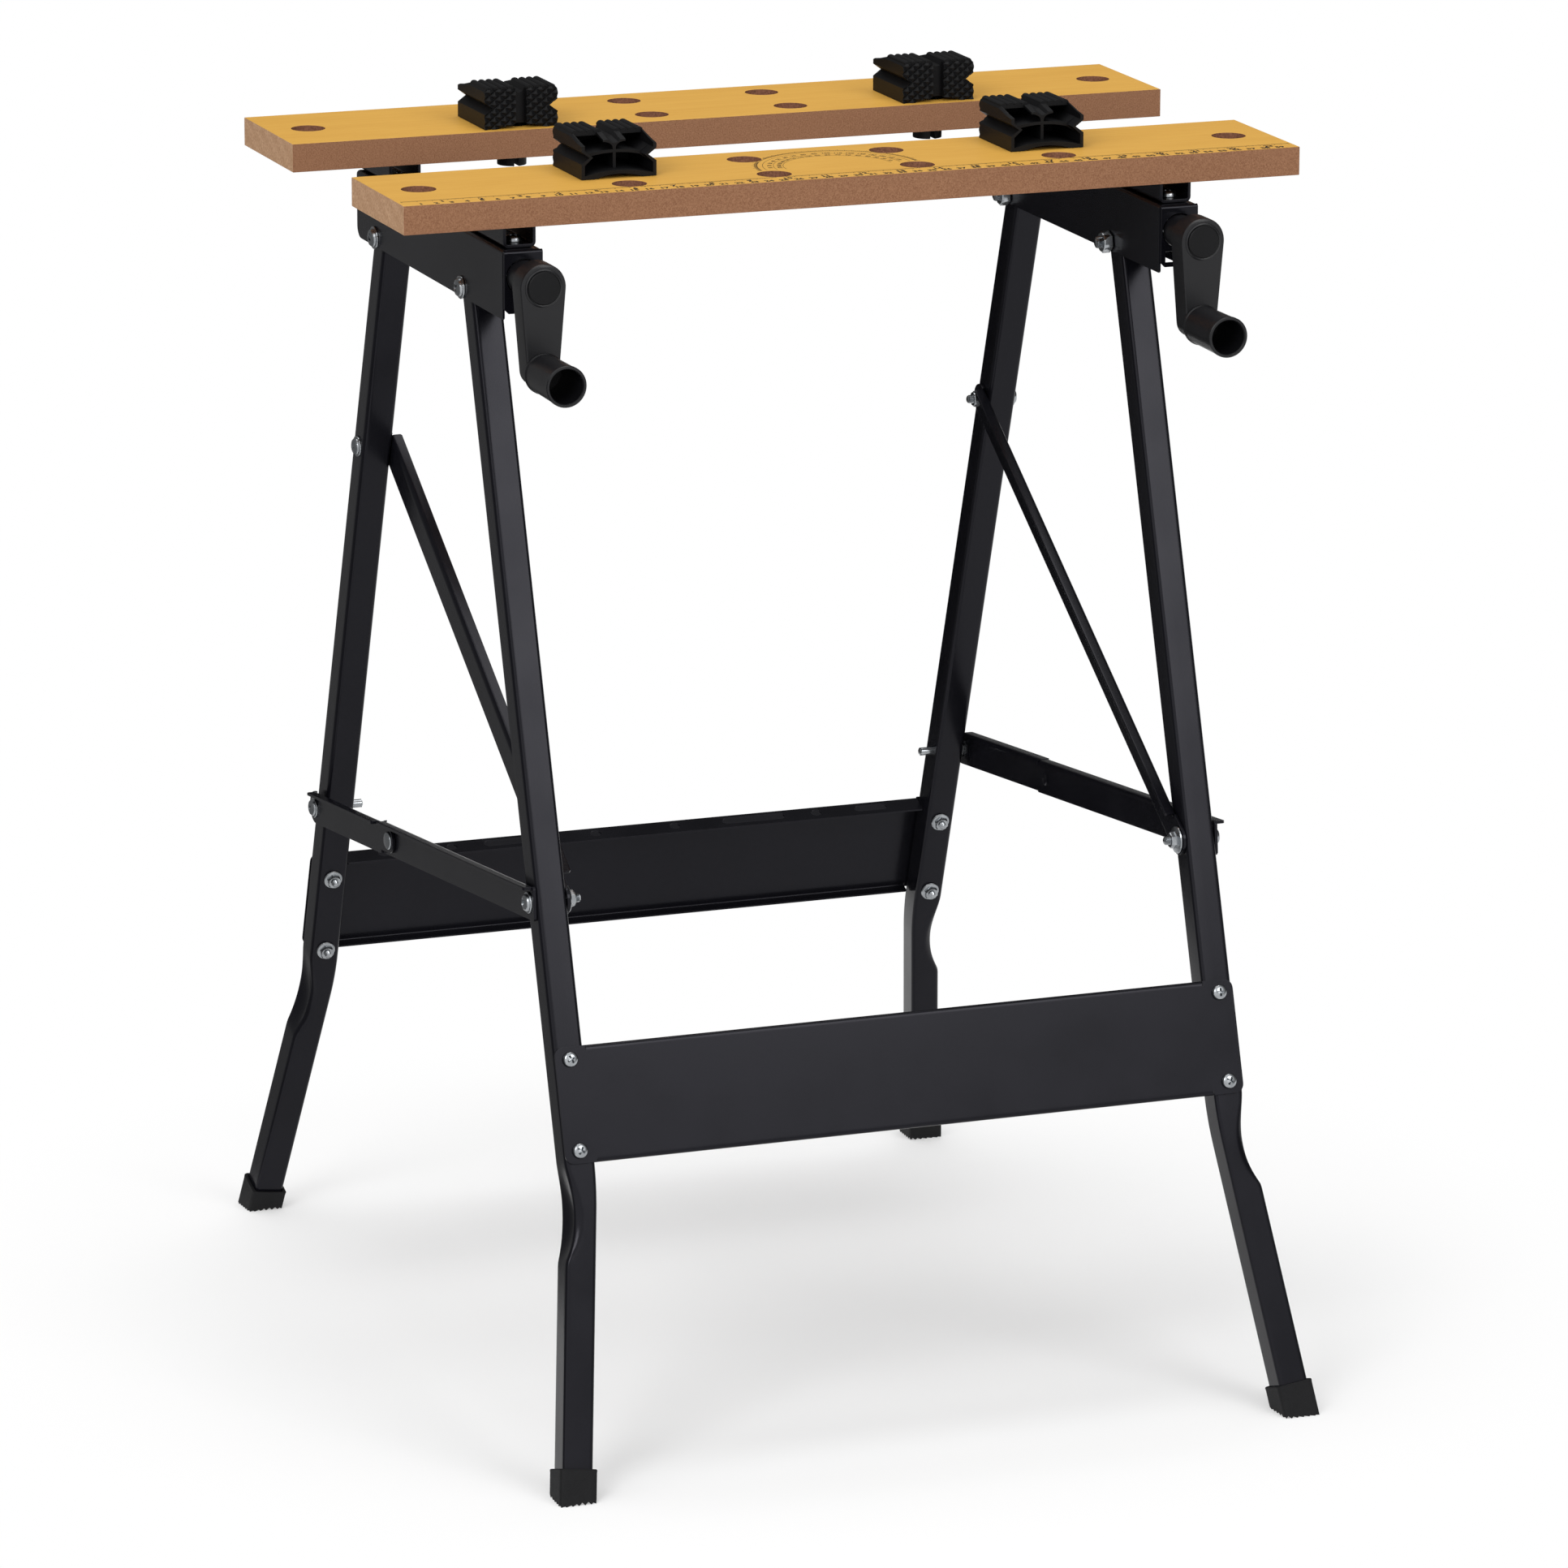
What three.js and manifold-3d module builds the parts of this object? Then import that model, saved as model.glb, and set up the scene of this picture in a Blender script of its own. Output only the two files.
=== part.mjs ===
// Folding workbench: two clamping jaw boards on a pair of steel rails, on four folding tube legs.
// Millimetres. +X runs along the boards, +Y from the front jaw to the rear jaw, +Z up, floor at z = 0.

import * as THREE from "three";
import { mergeVertices } from "three/addons/utils/BufferGeometryUtils.js";
import Module from "manifold-3d";

const wasm = await Module();
wasm.setup();

// Overall sizes
const topHeight = 800;
const boardLength = 605;
const boardWidth = 104;
const boardThickness = 18.5;
const jawGap = 122;

// Fits between neighbouring pieces
const seatGap = 0.25;
const boltClearance = 0.35;
const slideClearance = 0.4;

// Bench dog holes, two rows and one hole at each end of a board
const dogHoleRadius = 11;
const endHoleInset = 27;
const sideHoleX = 145.5;
const centreHoleX = 48.5;
const holeRowOffset = 27;

// Bench dogs
const dogWidth = 50;
const dogDepth = 55;
const dogHeight = 27.5;
const dogBackHeight = 20.5;
const dogTopLength = 33;
const dogFaceOffset = 20;
const dogWall = 2.2;
const dogFaceWall = 6.2;
const dogRib = 1;
const dogRibSetback = 9;
const dogTopPlate = 2.6;
const dogNotchDepth = 5.4;
const dogNotchHeight = 8;
const dogChamfer = 1.5;
const dogGrooveHalfWidth = 4;
const dogGrooveDepth = 4;
const dogArchHalfWidth = 16;
const dogArchHeight = 2.5;
const dogRecessWidth = 7.5;
const dogRecessDepth = 5;
const pegClearance = 1.1;
const pegSlit = 3;
const pegTail = 8.5;

// Top rails, inverted channels that house the leg tops and the spindles
const railCentreX = 222.2;
const railWidth = 26;
const railHeight = 44;
const railSheet = 1.5;
const railNose = 82.5;
const railTail = 37.5;
const railTailRadius = 6;
const boardOverhang = 6.5;
const flapSideGap = 0.6;
const flapFrontGap = 0.6;
const flapCorner = 3;
const flapWindowWidth = 8;
const flapWindowHeight = 10;
const flapWindowDrop = 13;

// Jaw carriages, open channels between a board and a rail
const carriageHeight = 15.5;
const carriageWidth = 21.5;
const carriageSheet = 2;
const carriageInset = 14;
const carriageScrewInset = 12;
const carriageScrewRadius = 2.9;
const carriageHeadRadius = 5.5;
const carriageHeadHeight = 4;

// Clamping spindles and cranks
const spindleRadius = 5;
const spindleDrop = 17;
const spindleCollarRadius = 9;
const spindleCollarLength = 4;
const spindleTail = 26;
const nutBlockWidth = 17;
const nutBlockLength = 15;
const nutBlockBelow = 7.6;
const nutBlockAbove = 12.5;
const bossRadius = 11;
const bossLength = 20;
const crankArmThickness = 18;
const crankHubRadius = 15;
const crankRadius = 54;
const crankEndRadius = 10.5;
const handleRadius = 13.2;
const handleBore = 11;
const handleLength = 42.5;
const capRadius = 10.6;
const capThickness = 1.2;
const jawTravel = 120;

// Legs
const pivotSpan = 175;
const pivotRise = 6;
const legTube = 20;
const legWall = 1.5;
const legCorner = 2.6;
const legLean = THREE.MathUtils.degToRad(18.25);
const legTopReach = 10;
const kneeDistance = 572;
const kneeHalfLength = 16;
const kneeRounding = 0.9;
const lowerSplay = THREE.MathUtils.degToRad(7.4);

// Rubber feet
const footSide = 24.4;
const footCorner = 4;
const footHeight = 22;
const soleThickness = 9;

// Tool trays across the legs
const traySheet = 1.2;
const trayTopDistance = 484;
const trayHeight = 74;
const trayCorner = 6;
const trayFlangeDepth = 16;
const trayLipDepth = 8;
const trayEndGap = 1.2;
const trayScrewInset = 8.2;
const trayRoundHole = 3.8;
const traySlotHalfWidth = 3.6;
const trayLongSlot = 19.5;
const trayShortSlot = 8.5;
const trayPitch = 58;

// Folding linkage, each pivot by its distance from the top pivot of its leg
const strutUpperDistance = 157;
const braceFrontDistance = 391;
const braceRearDistance = 439;
const rearLinkLength = 160;
const strutWidth = 20;
const strutSheet = 2;
const strutFlange = 8;
const strutFlangeInset = 14;
const openPivotAbove = 5.4;
const openPivotBelow = 2.5;
const openPivotTilt = THREE.MathUtils.degToRad(108.5);
const linkHeight = 22;
const linkSheet = 2;
const linkFlange = 8;
const linkTail = 16;
const linkNose = 9;
const linkCorner = 1.5;
const frontFlangeStart = 20;
const midPivotFlangeClearance = 55;
const rearFlangeStart = 16.5;
const rearFlangeEnd = 87;
const rearEndRadius = 8.5;

// Fasteners
const pivotBoltRadius = 3.9;
const pivotHeadRadius = 7.5;
const pivotHeadHeight = 4.2;
const linkBoltRadius = 2.9;
const linkHeadRadius = 7;
const linkHeadHeight = 3.8;
const rivetHeadRadius = 6;
const rivetHeadHeight = 2.4;
const rivetRadius = 2.6;
const rivetTailRadius = 4.2;
const rivetTailHeight = 1.6;
const trayScrewRadius = 2.4;
const trayHeadRadius = 5;
const trayHeadHeight = 3;
const nutToBolt = 1.85;
const nutHeightToBolt = 1.6;
const threadEnd = 4;
const nutFlangeRadius = 9;
const nutFlangeHeight = 1.2;
const studEnd = 9;

// Facets of round shapes
const screwRound = 8;
const smallRound = 10;
const shaftRound = 12;
const holeRound = 16;
const largeRound = 20;

// Places that follow from the sizes above
const railTop = topHeight - boardThickness - carriageHeight;
const railBottom = railTop - railHeight;
const pivotZ = railBottom + pivotRise;
const frontPivotY = -pivotSpan / 2;
const rearPivotY = pivotSpan / 2;
const railFront = frontPivotY - railNose;
const railRear = rearPivotY + railTail;
const frontBoardY = railFront - boardOverhang + boardWidth / 2;
const rearBoardY = frontBoardY + boardWidth + jawGap;
const carriageLength = boardWidth - 2 * carriageInset;
const spindleZ = railTop - spindleDrop;
const rearScrewY = rearBoardY - carriageLength / 2 + carriageScrewInset;
const frontScrewY = frontBoardY - carriageLength / 2 + carriageScrewInset;
const armBack = railFront - bossLength;
const armFront = armBack - crankArmThickness;
const legReach = pivotZ / Math.cos(legLean);
const legHalf = legTube / 2;
const legOuterX = railCentreX + legHalf;
const legInnerX = railCentreX - legHalf;
const railOuterX = railCentreX + railWidth / 2;
const railInnerX = railCentreX - railWidth / 2;
const frontLinkX = legOuterX + seatGap;
const rearLinkX = frontLinkX + linkSheet + seatGap;
const strutOuterX = legInnerX - seatGap;
const strutInnerX = strutOuterX - strutSheet;

const xAxis = new THREE.Vector3(1, 0, 0);
const yAxis = new THREE.Vector3(0, 1, 0);
const zAxis = new THREE.Vector3(0, 0, 1);

// Solids: meshes with shared vertices that can be joined and cut

function toSolid(geometry) {
  const bare = geometry.clone();
  bare.deleteAttribute("normal");
  bare.deleteAttribute("uv");
  const merged = mergeVertices(bare, 1e-4);
  const vertProperties = new Float32Array(merged.attributes.position.array);
  const triVerts = new Uint32Array(merged.index.array);
  return new wasm.Manifold(new wasm.Mesh({ numProp: 3, vertProperties, triVerts }));
}

function toGeometry(solid) {
  const mesh = solid.getMesh();
  const geometry = new THREE.BufferGeometry();
  geometry.setAttribute("position", new THREE.BufferAttribute(mesh.vertProperties, 3));
  geometry.setIndex(new THREE.BufferAttribute(mesh.triVerts, 1));
  geometry.computeVertexNormals();
  return geometry;
}

function join(...geometries) {
  return toGeometry(geometries.map(toSolid).reduce((whole, piece) => whole.add(piece)));
}

function cut(geometry, ...tools) {
  return toGeometry(tools.map(toSolid).reduce((whole, tool) => whole.subtract(tool), toSolid(geometry)));
}

function mirrored(geometry) {
  const copy = geometry.clone().scale(-1, 1, 1);
  const index = copy.index.array;
  for (let i = 0; i < index.length; i += 3) {
    [index[i], index[i + 1]] = [index[i + 1], index[i]];
  }
  copy.computeVertexNormals();
  return copy;
}

// Basic shapes

function boxBetween(x0, x1, y0, y1, z0, z1) {
  const box = new THREE.BoxGeometry(x1 - x0, y1 - y0, z1 - z0);
  return box.translate((x0 + x1) / 2, (y0 + y1) / 2, (z0 + z1) / 2);
}

function rodX(radius, x0, x1, y, z, facets = smallRound) {
  const rod = new THREE.CylinderGeometry(radius, radius, x1 - x0, facets).rotateZ(-Math.PI / 2);
  return rod.translate((x0 + x1) / 2, y, z);
}

function rodY(radius, y0, y1, x, z, facets = smallRound) {
  return new THREE.CylinderGeometry(radius, radius, y1 - y0, facets).translate(x, (y0 + y1) / 2, z);
}

function rodZ(radius, z0, z1, x, y, facets = smallRound) {
  const rod = new THREE.CylinderGeometry(radius, radius, z1 - z0, facets).rotateX(Math.PI / 2);
  return rod.translate(x, y, (z0 + z1) / 2);
}

// Outline through corner points [x, y, radius], each corner rounded by its radius.
function roundedOutline(corners) {
  const shape = new THREE.Shape();
  corners.forEach(([x, y, radius = 0], i) => {
    const before = corners[(i + corners.length - 1) % corners.length];
    const after = corners[(i + 1) % corners.length];
    const corner = new THREE.Vector2(x, y);
    const toBefore = new THREE.Vector2(before[0] - x, before[1] - y).normalize();
    const toAfter = new THREE.Vector2(after[0] - x, after[1] - y).normalize();
    const enter = corner.clone().addScaledVector(toBefore, radius);
    const leave = corner.clone().addScaledVector(toAfter, radius);
    if (i === 0) {
      shape.moveTo(enter.x, enter.y);
    } else {
      shape.lineTo(enter.x, enter.y);
    }
    if (radius > 0) {
      shape.quadraticCurveTo(x, y, leave.x, leave.y);
    }
  });
  shape.closePath();
  return shape;
}

function rectangle(x0, x1, y0, y1, radius = 0) {
  return roundedOutline([[x0, y0, radius], [x1, y0, radius], [x1, y1, radius], [x0, y1, radius]]);
}

function circle(x, y, radius) {
  return new THREE.Path().absarc(x, y, radius, 0, 2 * Math.PI, true);
}

// Slot with round ends about (x, y): its end centres lie behind and ahead of it along the angle.
function slot(x, y, behind, ahead, halfWidth, angle = 0) {
  const along = new THREE.Vector2(Math.cos(angle), Math.sin(angle));
  const quarter = Math.PI / 2;
  const path = new THREE.Path();
  const front = along.clone().multiplyScalar(ahead);
  const back = along.clone().multiplyScalar(-behind);
  path.absarc(x + front.x, y + front.y, halfWidth, angle - quarter, angle + quarter, false);
  path.absarc(x + back.x, y + back.y, halfWidth, angle + quarter, angle + 3 * quarter, false);
  path.closePath();
  return path;
}

function extruded(shape, depth, facets) {
  return new THREE.ExtrudeGeometry(shape, { depth, bevelEnabled: false, curveSegments: facets });
}

function plateXY(shape, z0, z1, facets = 5) {
  return extruded(shape, z1 - z0, facets).translate(0, 0, z0);
}

function plateXZ(shape, y0, y1, facets = 5) {
  const turn = new THREE.Matrix4().makeBasis(xAxis, zAxis, yAxis.clone().negate());
  return extruded(shape, y1 - y0, facets).applyMatrix4(turn).translate(0, y1, 0);
}

function plateYZ(shape, x0, x1, facets = 5) {
  const turn = new THREE.Matrix4().makeBasis(yAxis, zAxis, xAxis);
  return extruded(shape, x1 - x0, facets).applyMatrix4(turn).translate(x0, 0, 0);
}

// Skin over a row of rings that turn counter-clockwise about the direction from the first to the last.
function loft(rings) {
  const count = rings[0].length;
  const triangles = [];
  for (let r = 0; r < rings.length - 1; r += 1) {
    for (let i = 0; i < count; i += 1) {
      const a = r * count + i;
      const b = r * count + ((i + 1) % count);
      triangles.push(a, b, b + count, a, b + count, a + count);
    }
  }
  const last = (rings.length - 1) * count;
  for (let i = 1; i < count - 1; i += 1) {
    triangles.push(0, i + 1, i);
    triangles.push(last, last + i, last + i + 1);
  }
  const points = rings.flat().flatMap((point) => point.toArray());
  const geometry = new THREE.BufferGeometry();
  geometry.setAttribute("position", new THREE.Float32BufferAttribute(points, 3));
  geometry.setIndex(triangles);
  return geometry;
}

// Square tube section with rounded corners, tilted outwards by the angle, walking downwards.
function squareRing(centreX, z, half, radius, tilt) {
  const ring = [];
  for (let corner = 0; corner < 4; corner += 1) {
    const signX = corner === 0 || corner === 3 ? 1 : -1;
    const signY = corner < 2 ? 1 : -1;
    for (let step = 0; step < 3; step += 1) {
      const angle = (corner + step / 2) * (Math.PI / 2);
      const across = signX * (half - radius) + radius * Math.cos(angle);
      const along = signY * (half - radius) + radius * Math.sin(angle);
      ring.push(new THREE.Vector3(centreX + across * Math.cos(tilt), -along, z + across * Math.sin(tilt)));
    }
  }
  return ring;
}

// Screw along +Y with its head on top, the underside of the head at y = 0, and a nut past the grip.
function screw({
  headRadius,
  headHeight,
  radius,
  grip,
  nut = true,
  nutFlange = 0,
  tail = threadEnd,
  collar = null,
}) {
  const nutHeight = nut ? nutHeightToBolt * radius : 0;
  const end = -(grip + nutHeight + tail);
  const ring = collar
    ? [
        [radius, collar.to],
        [collar.radius, collar.to],
        [collar.radius, collar.from],
        [radius, collar.from],
      ]
    : [];
  const profile = [
    [0, end],
    [radius * 0.75, end],
    [radius, end + radius * 0.25],
    ...ring,
    [radius, 0],
    [headRadius, 0],
    [headRadius, headHeight * 0.35],
    [headRadius * 0.7, headHeight * 0.85],
    [0, headHeight],
  ];
  const points = profile.map(([r, y]) => new THREE.Vector2(r, y));
  const shaft = new THREE.LatheGeometry(points, screwRound);
  if (!nut) {
    return join(shaft);
  }
  const nutRadius = nutToBolt * radius;
  const hexagon = new THREE.CylinderGeometry(nutRadius, nutRadius, nutHeight, 6);
  hexagon.translate(0, -grip - nutHeight / 2, 0);
  if (nutFlange === 0) {
    return join(shaft, hexagon);
  }
  return join(shaft, hexagon, rodY(nutFlange, -grip - nutFlangeHeight, -grip, 0, 0, holeRound));
}

// Screw whose head faces outwards along +X, on the right side of the bench.
function screwX(options, headX, y, z) {
  return screw(options).rotateZ(-Math.PI / 2).translate(headX, y, z);
}

// Materials
const blackPaint = new THREE.MeshStandardMaterial({ color: 0x1d1e22, roughness: 0.32, metalness: 0.35 });
const blackPlastic = new THREE.MeshStandardMaterial({ color: 0x232427, roughness: 0.6, metalness: 0 });
const blackRubber = new THREE.MeshStandardMaterial({ color: 0x1a1a1a, roughness: 0.85, metalness: 0 });
const zinc = new THREE.MeshStandardMaterial({ color: 0xc8ccd0, roughness: 0.28, metalness: 0.95 });
const woodBoard = new THREE.MeshStandardMaterial({ color: 0xd9a441, roughness: 0.5, metalness: 0 });

const workbench = new THREE.Group();

function add(parent, name, geometry, material) {
  const mesh = new THREE.Mesh(geometry, material);
  mesh.name = name;
  parent.add(mesh);
  return mesh;
}

// Adds a piece of the right side and its mirror image on the left.
function addPair(parent, name, geometry, material) {
  add(parent, `${name}_right`, geometry, material);
  add(parent, `${name}_left`, mirrored(geometry), material);
}

// Jaw boards

function jawBoard() {
  const shape = rectangle(-boardLength / 2, boardLength / 2, -boardWidth / 2, boardWidth / 2);
  for (const side of [-1, 1]) {
    shape.holes.push(circle(side * (boardLength / 2 - endHoleInset), 0, dogHoleRadius));
    for (const row of [-1, 1]) {
      shape.holes.push(circle(side * sideHoleX, row * holeRowOffset, dogHoleRadius));
      shape.holes.push(circle(side * centreHoleX, row * holeRowOffset, dogHoleRadius));
    }
  }
  return plateXY(shape, topHeight - boardThickness, topHeight, holeRound / 2);
}

add(workbench, "front_jaw_board", join(jawBoard()), woodBoard).position.y = frontBoardY;
add(workbench, "rear_jaw_board", join(jawBoard()), woodBoard).position.y = rearBoardY;

// Bench dogs: gripping face towards -Y, flat top, sloping hollow back with cross ribs, split peg below

function dogOutline() {
  const half = dogWidth / 2;
  const notchLow = (dogHeight - dogNotchHeight) / 2;
  const notchHigh = notchLow + dogNotchHeight;
  const shape = new THREE.Shape();
  shape.moveTo(dogArchHalfWidth, 0);
  shape.lineTo(half, 0);
  shape.lineTo(half, notchLow);
  shape.lineTo(half - dogNotchDepth, dogHeight / 2);
  shape.lineTo(half, notchHigh);
  shape.lineTo(half, dogHeight - dogChamfer);
  shape.lineTo(half - dogChamfer, dogHeight);
  shape.lineTo(dogGrooveHalfWidth, dogHeight);
  shape.lineTo(0, dogHeight - dogGrooveDepth);
  shape.lineTo(-dogGrooveHalfWidth, dogHeight);
  shape.lineTo(-half + dogChamfer, dogHeight);
  shape.lineTo(-half, dogHeight - dogChamfer);
  shape.lineTo(-half, notchHigh);
  shape.lineTo(-half + dogNotchDepth, dogHeight / 2);
  shape.lineTo(-half, notchLow);
  shape.lineTo(-half, 0);
  shape.lineTo(-dogArchHalfWidth, 0);
  shape.quadraticCurveTo(0, 2 * dogArchHeight, dogArchHalfWidth, 0);
  return shape;
}

function dogPockets() {
  const inner = dogWidth / 2 - dogWall;
  const waist = inner - dogNotchDepth - dogWall / 2;
  const lowTop = dogHeight / 2 - dogRib;
  const highBottom = dogHeight / 2 + dogRib;
  const ceiling = dogHeight - dogTopPlate;
  const floor = dogArchHeight + dogWall;
  const notchLow = (dogHeight - dogNotchHeight) / 2 - dogWall / 2;
  const notchHigh = (dogHeight + dogNotchHeight) / 2 + dogWall / 2;
  const lower = [[dogRib, floor], [inner, dogWall], [inner, notchLow], [waist, lowTop], [dogRib, lowTop]];
  const upper = [
    [dogRib, highBottom],
    [waist, highBottom],
    [inner, notchHigh],
    [inner, ceiling],
    [dogGrooveHalfWidth + dogWall, ceiling],
    [dogRib, ceiling - dogGrooveDepth - dogRib],
  ];
  const flip = (corners) => corners.map(([x, z]) => [-x, z]).reverse();
  return [lower, upper, flip(lower), flip(upper)];
}

function benchDog() {
  const back = dogDepth - dogFaceOffset;
  const body = plateXZ(dogOutline(), -dogFaceOffset, back, 6);
  const pocketFront = -dogFaceOffset + dogFaceWall;
  const pockets = dogPockets().map((corners) => plateXZ(roundedOutline(corners), pocketFront, back + 1));
  const recessHalf = dogRecessWidth / 2;
  const recess = boxBetween(
    -recessHalf, recessHalf, -dogFaceOffset - 1, -dogFaceOffset + dogRecessDepth, -1, dogHeight + 1,
  );
  const slope = plateYZ(
    roundedOutline([
      [dogTopLength - dogFaceOffset, dogHeight],
      [back, dogBackHeight],
      [back + 1, dogBackHeight],
      [back + 1, dogHeight + 1],
      [dogTopLength - dogFaceOffset, dogHeight + 1],
    ]),
    -dogWidth,
    dogWidth,
  );
  const waist = dogWidth / 2 - dogNotchDepth - 1.5 * dogWall;
  const floor = dogArchHeight + dogWall;
  const ribSetback = boxBetween(-waist, waist, back - dogRibSetback, back + 1, floor, dogHeight + 1);
  const pegTop = dogArchHeight + dogWall / 2;
  const peg = rodZ(dogHoleRadius - pegClearance, -boardThickness - pegTail, pegTop, 0, 0, holeRound);
  const slit = boxBetween(
    -pegSlit / 2, pegSlit / 2, -dogHoleRadius, dogHoleRadius, -boardThickness - pegTail - 1, -seatGap,
  );
  return join(cut(body, slope, ...pockets, ribSetback, recess), cut(peg, slit));
}

for (const [side, sideName] of [[1, "right"], [-1, "left"]]) {
  const frontDog = add(workbench, `bench_dog_front_${sideName}`, benchDog(), blackPlastic);
  frontDog.position.set(side * sideHoleX, frontBoardY + holeRowOffset, topHeight + seatGap);
  frontDog.rotation.z = Math.PI;
  const rearDog = add(workbench, `bench_dog_rear_${sideName}`, benchDog(), blackPlastic);
  rearDog.position.set(side * sideHoleX, rearBoardY - holeRowOffset, topHeight + seatGap);
}

// Top rails: web on top, two side flanges and a flap bent down over the front end

function topRail() {
  const slotLength = jawTravel + 2 * (carriageScrewRadius + slideClearance);
  const web = rectangle(railInnerX, railOuterX, railFront, railRear);
  web.holes.push(circle(railCentreX, frontScrewY, carriageScrewRadius + boltClearance));
  const jawSlot = boxBetween(
    railCentreX - carriageScrewRadius - slideClearance,
    railCentreX + carriageScrewRadius + slideClearance,
    rearScrewY + (carriageScrewRadius + slideClearance) - slotLength,
    rearScrewY + carriageScrewRadius + slideClearance,
    railTop - railHeight / 2,
    railTop + 1,
  );
  const flangeFront = railFront + railSheet + flapFrontGap;
  const flange = roundedOutline([
    [flangeFront, railBottom],
    [railRear, railBottom, railTailRadius],
    [railRear, railTop],
    [flangeFront, railTop],
  ]);
  for (const pivotY of [frontPivotY, rearPivotY]) {
    flange.holes.push(circle(pivotY, pivotZ, pivotBoltRadius + boltClearance));
  }
  const flapHalf = railWidth / 2 - flapSideGap;
  const flap = roundedOutline([
    [railCentreX - flapHalf, railBottom, flapCorner],
    [railCentreX + flapHalf, railBottom, flapCorner],
    [railCentreX + flapHalf, railTop],
    [railCentreX - flapHalf, railTop],
  ]);
  flap.holes.push(circle(railCentreX, spindleZ, bossRadius + slideClearance));
  const windowTop = spindleZ - flapWindowDrop;
  const windowLow = windowTop - flapWindowHeight;
  const windowLeft = railCentreX - flapHalf + flapCorner;
  flap.holes.push(rectangle(windowLeft, windowLeft + flapWindowWidth, windowLow, windowTop));
  return cut(
    join(
      plateXY(web, railTop - railSheet, railTop, smallRound / 2),
      plateYZ(flange, railInnerX, railInnerX + railSheet, smallRound / 2),
      plateYZ(flange, railOuterX - railSheet, railOuterX, smallRound / 2),
      plateXZ(flap, railFront, railFront + railSheet, largeRound / 2),
    ),
    jawSlot,
  );
}

addPair(workbench, "top_rail", topRail(), blackPaint);

// Jaw carriages and the screws that hold them to the rail or to the spindle nut

function carriage(boardY, screwY) {
  const half = carriageWidth / 2;
  const low = railTop + seatGap;
  const high = railTop + carriageHeight - seatGap;
  const section = roundedOutline([
    [railCentreX - half, low, 2],
    [railCentreX + half, low, 2],
    [railCentreX + half, high],
    [railCentreX + half - carriageSheet, high],
    [railCentreX + half - carriageSheet, low + carriageSheet],
    [railCentreX - half + carriageSheet, low + carriageSheet],
    [railCentreX - half + carriageSheet, high],
    [railCentreX - half, high],
  ]);
  const channel = plateXZ(section, boardY - carriageLength / 2, boardY + carriageLength / 2);
  return cut(
    channel,
    rodZ(carriageScrewRadius + boltClearance, low - 1, low + carriageSheet + 1, railCentreX, screwY),
  );
}

addPair(workbench, "jaw_carriage_front", carriage(frontBoardY, frontScrewY), blackPaint);
addPair(workbench, "jaw_carriage_rear", carriage(rearBoardY, rearScrewY), blackPaint);

const headSeat = railTop + carriageSheet + 2 * seatGap;
const nutBlockTop = spindleZ + nutBlockAbove;
const frontScrewGrip = carriageSheet + railSheet + 3 * seatGap;
const rearScrewDepth = headSeat - (spindleZ + spindleRadius + 2 * slideClearance);
const carriageHead = {
  headRadius: carriageHeadRadius,
  headHeight: carriageHeadHeight,
  radius: carriageScrewRadius,
};
const frontScrew = screw({ ...carriageHead, grip: frontScrewGrip, tail: seatGap });
const rearScrew = screw({ ...carriageHead, grip: rearScrewDepth, nut: false, tail: 0 });
frontScrew.rotateX(Math.PI / 2).translate(railCentreX, frontScrewY, headSeat);
rearScrew.rotateX(Math.PI / 2).translate(railCentreX, rearScrewY, headSeat);
addPair(workbench, "carriage_screw_front", frontScrew, zinc);
addPair(workbench, "carriage_screw_rear", rearScrew, zinc);

// Spindles, their nuts, cranks and hub caps

function spindle() {
  const rear = rearScrewY + spindleTail;
  const front = armBack + seatGap;
  const collar = railFront + railSheet + seatGap;
  const rod = rodY(spindleRadius, front, rear, railCentreX, spindleZ, shaftRound);
  const collarEnd = collar + spindleCollarLength;
  const ring = rodY(spindleCollarRadius, collar, collarEnd, railCentreX, spindleZ, shaftRound);
  return join(rod, ring);
}

function spindleNut() {
  const block = boxBetween(
    railCentreX - nutBlockWidth / 2,
    railCentreX + nutBlockWidth / 2,
    rearScrewY - nutBlockLength / 2,
    rearScrewY + nutBlockLength / 2,
    spindleZ - nutBlockBelow,
    nutBlockTop,
  );
  const bore = rodY(
    spindleRadius + slideClearance,
    rearScrewY - nutBlockLength,
    rearScrewY + nutBlockLength,
    railCentreX,
    spindleZ,
    shaftRound,
  );
  const tapping = carriageScrewRadius + boltClearance;
  const tapped = rodZ(tapping, spindleZ, nutBlockTop + 1, railCentreX, rearScrewY);
  return cut(block, bore, tapped);
}

// Arm outline: two circles of different size joined by their outer tangents.
function crankArmOutline() {
  const tilt = Math.asin((crankHubRadius - crankEndRadius) / crankRadius);
  const shape = new THREE.Shape();
  shape.absarc(railCentreX, spindleZ, crankHubRadius, -tilt, Math.PI + tilt, false);
  const endZ = spindleZ - crankRadius;
  shape.absarc(railCentreX, endZ, crankEndRadius, Math.PI + tilt, 2 * Math.PI - tilt, false);
  shape.closePath();
  return shape;
}

function crank() {
  const handleZ = spindleZ - crankRadius;
  const handleEnd = armFront - handleLength;
  const arm = plateXZ(crankArmOutline(), armFront, armBack, smallRound);
  const boss = rodY(bossRadius, armBack - 1, railFront + railSheet, railCentreX, spindleZ, largeRound);
  const handle = rodY(handleRadius, handleEnd, armFront + 1, railCentreX, handleZ, largeRound);
  const hollow = rodY(handleBore, handleEnd - 1, armFront + 0.5, railCentreX, handleZ, largeRound);
  const socketEnd = railFront + 2 * railSheet;
  const socket = rodY(spindleRadius + seatGap, armBack, socketEnd, railCentreX, spindleZ, shaftRound);
  return cut(join(arm, boss, handle), hollow, socket);
}

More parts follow.
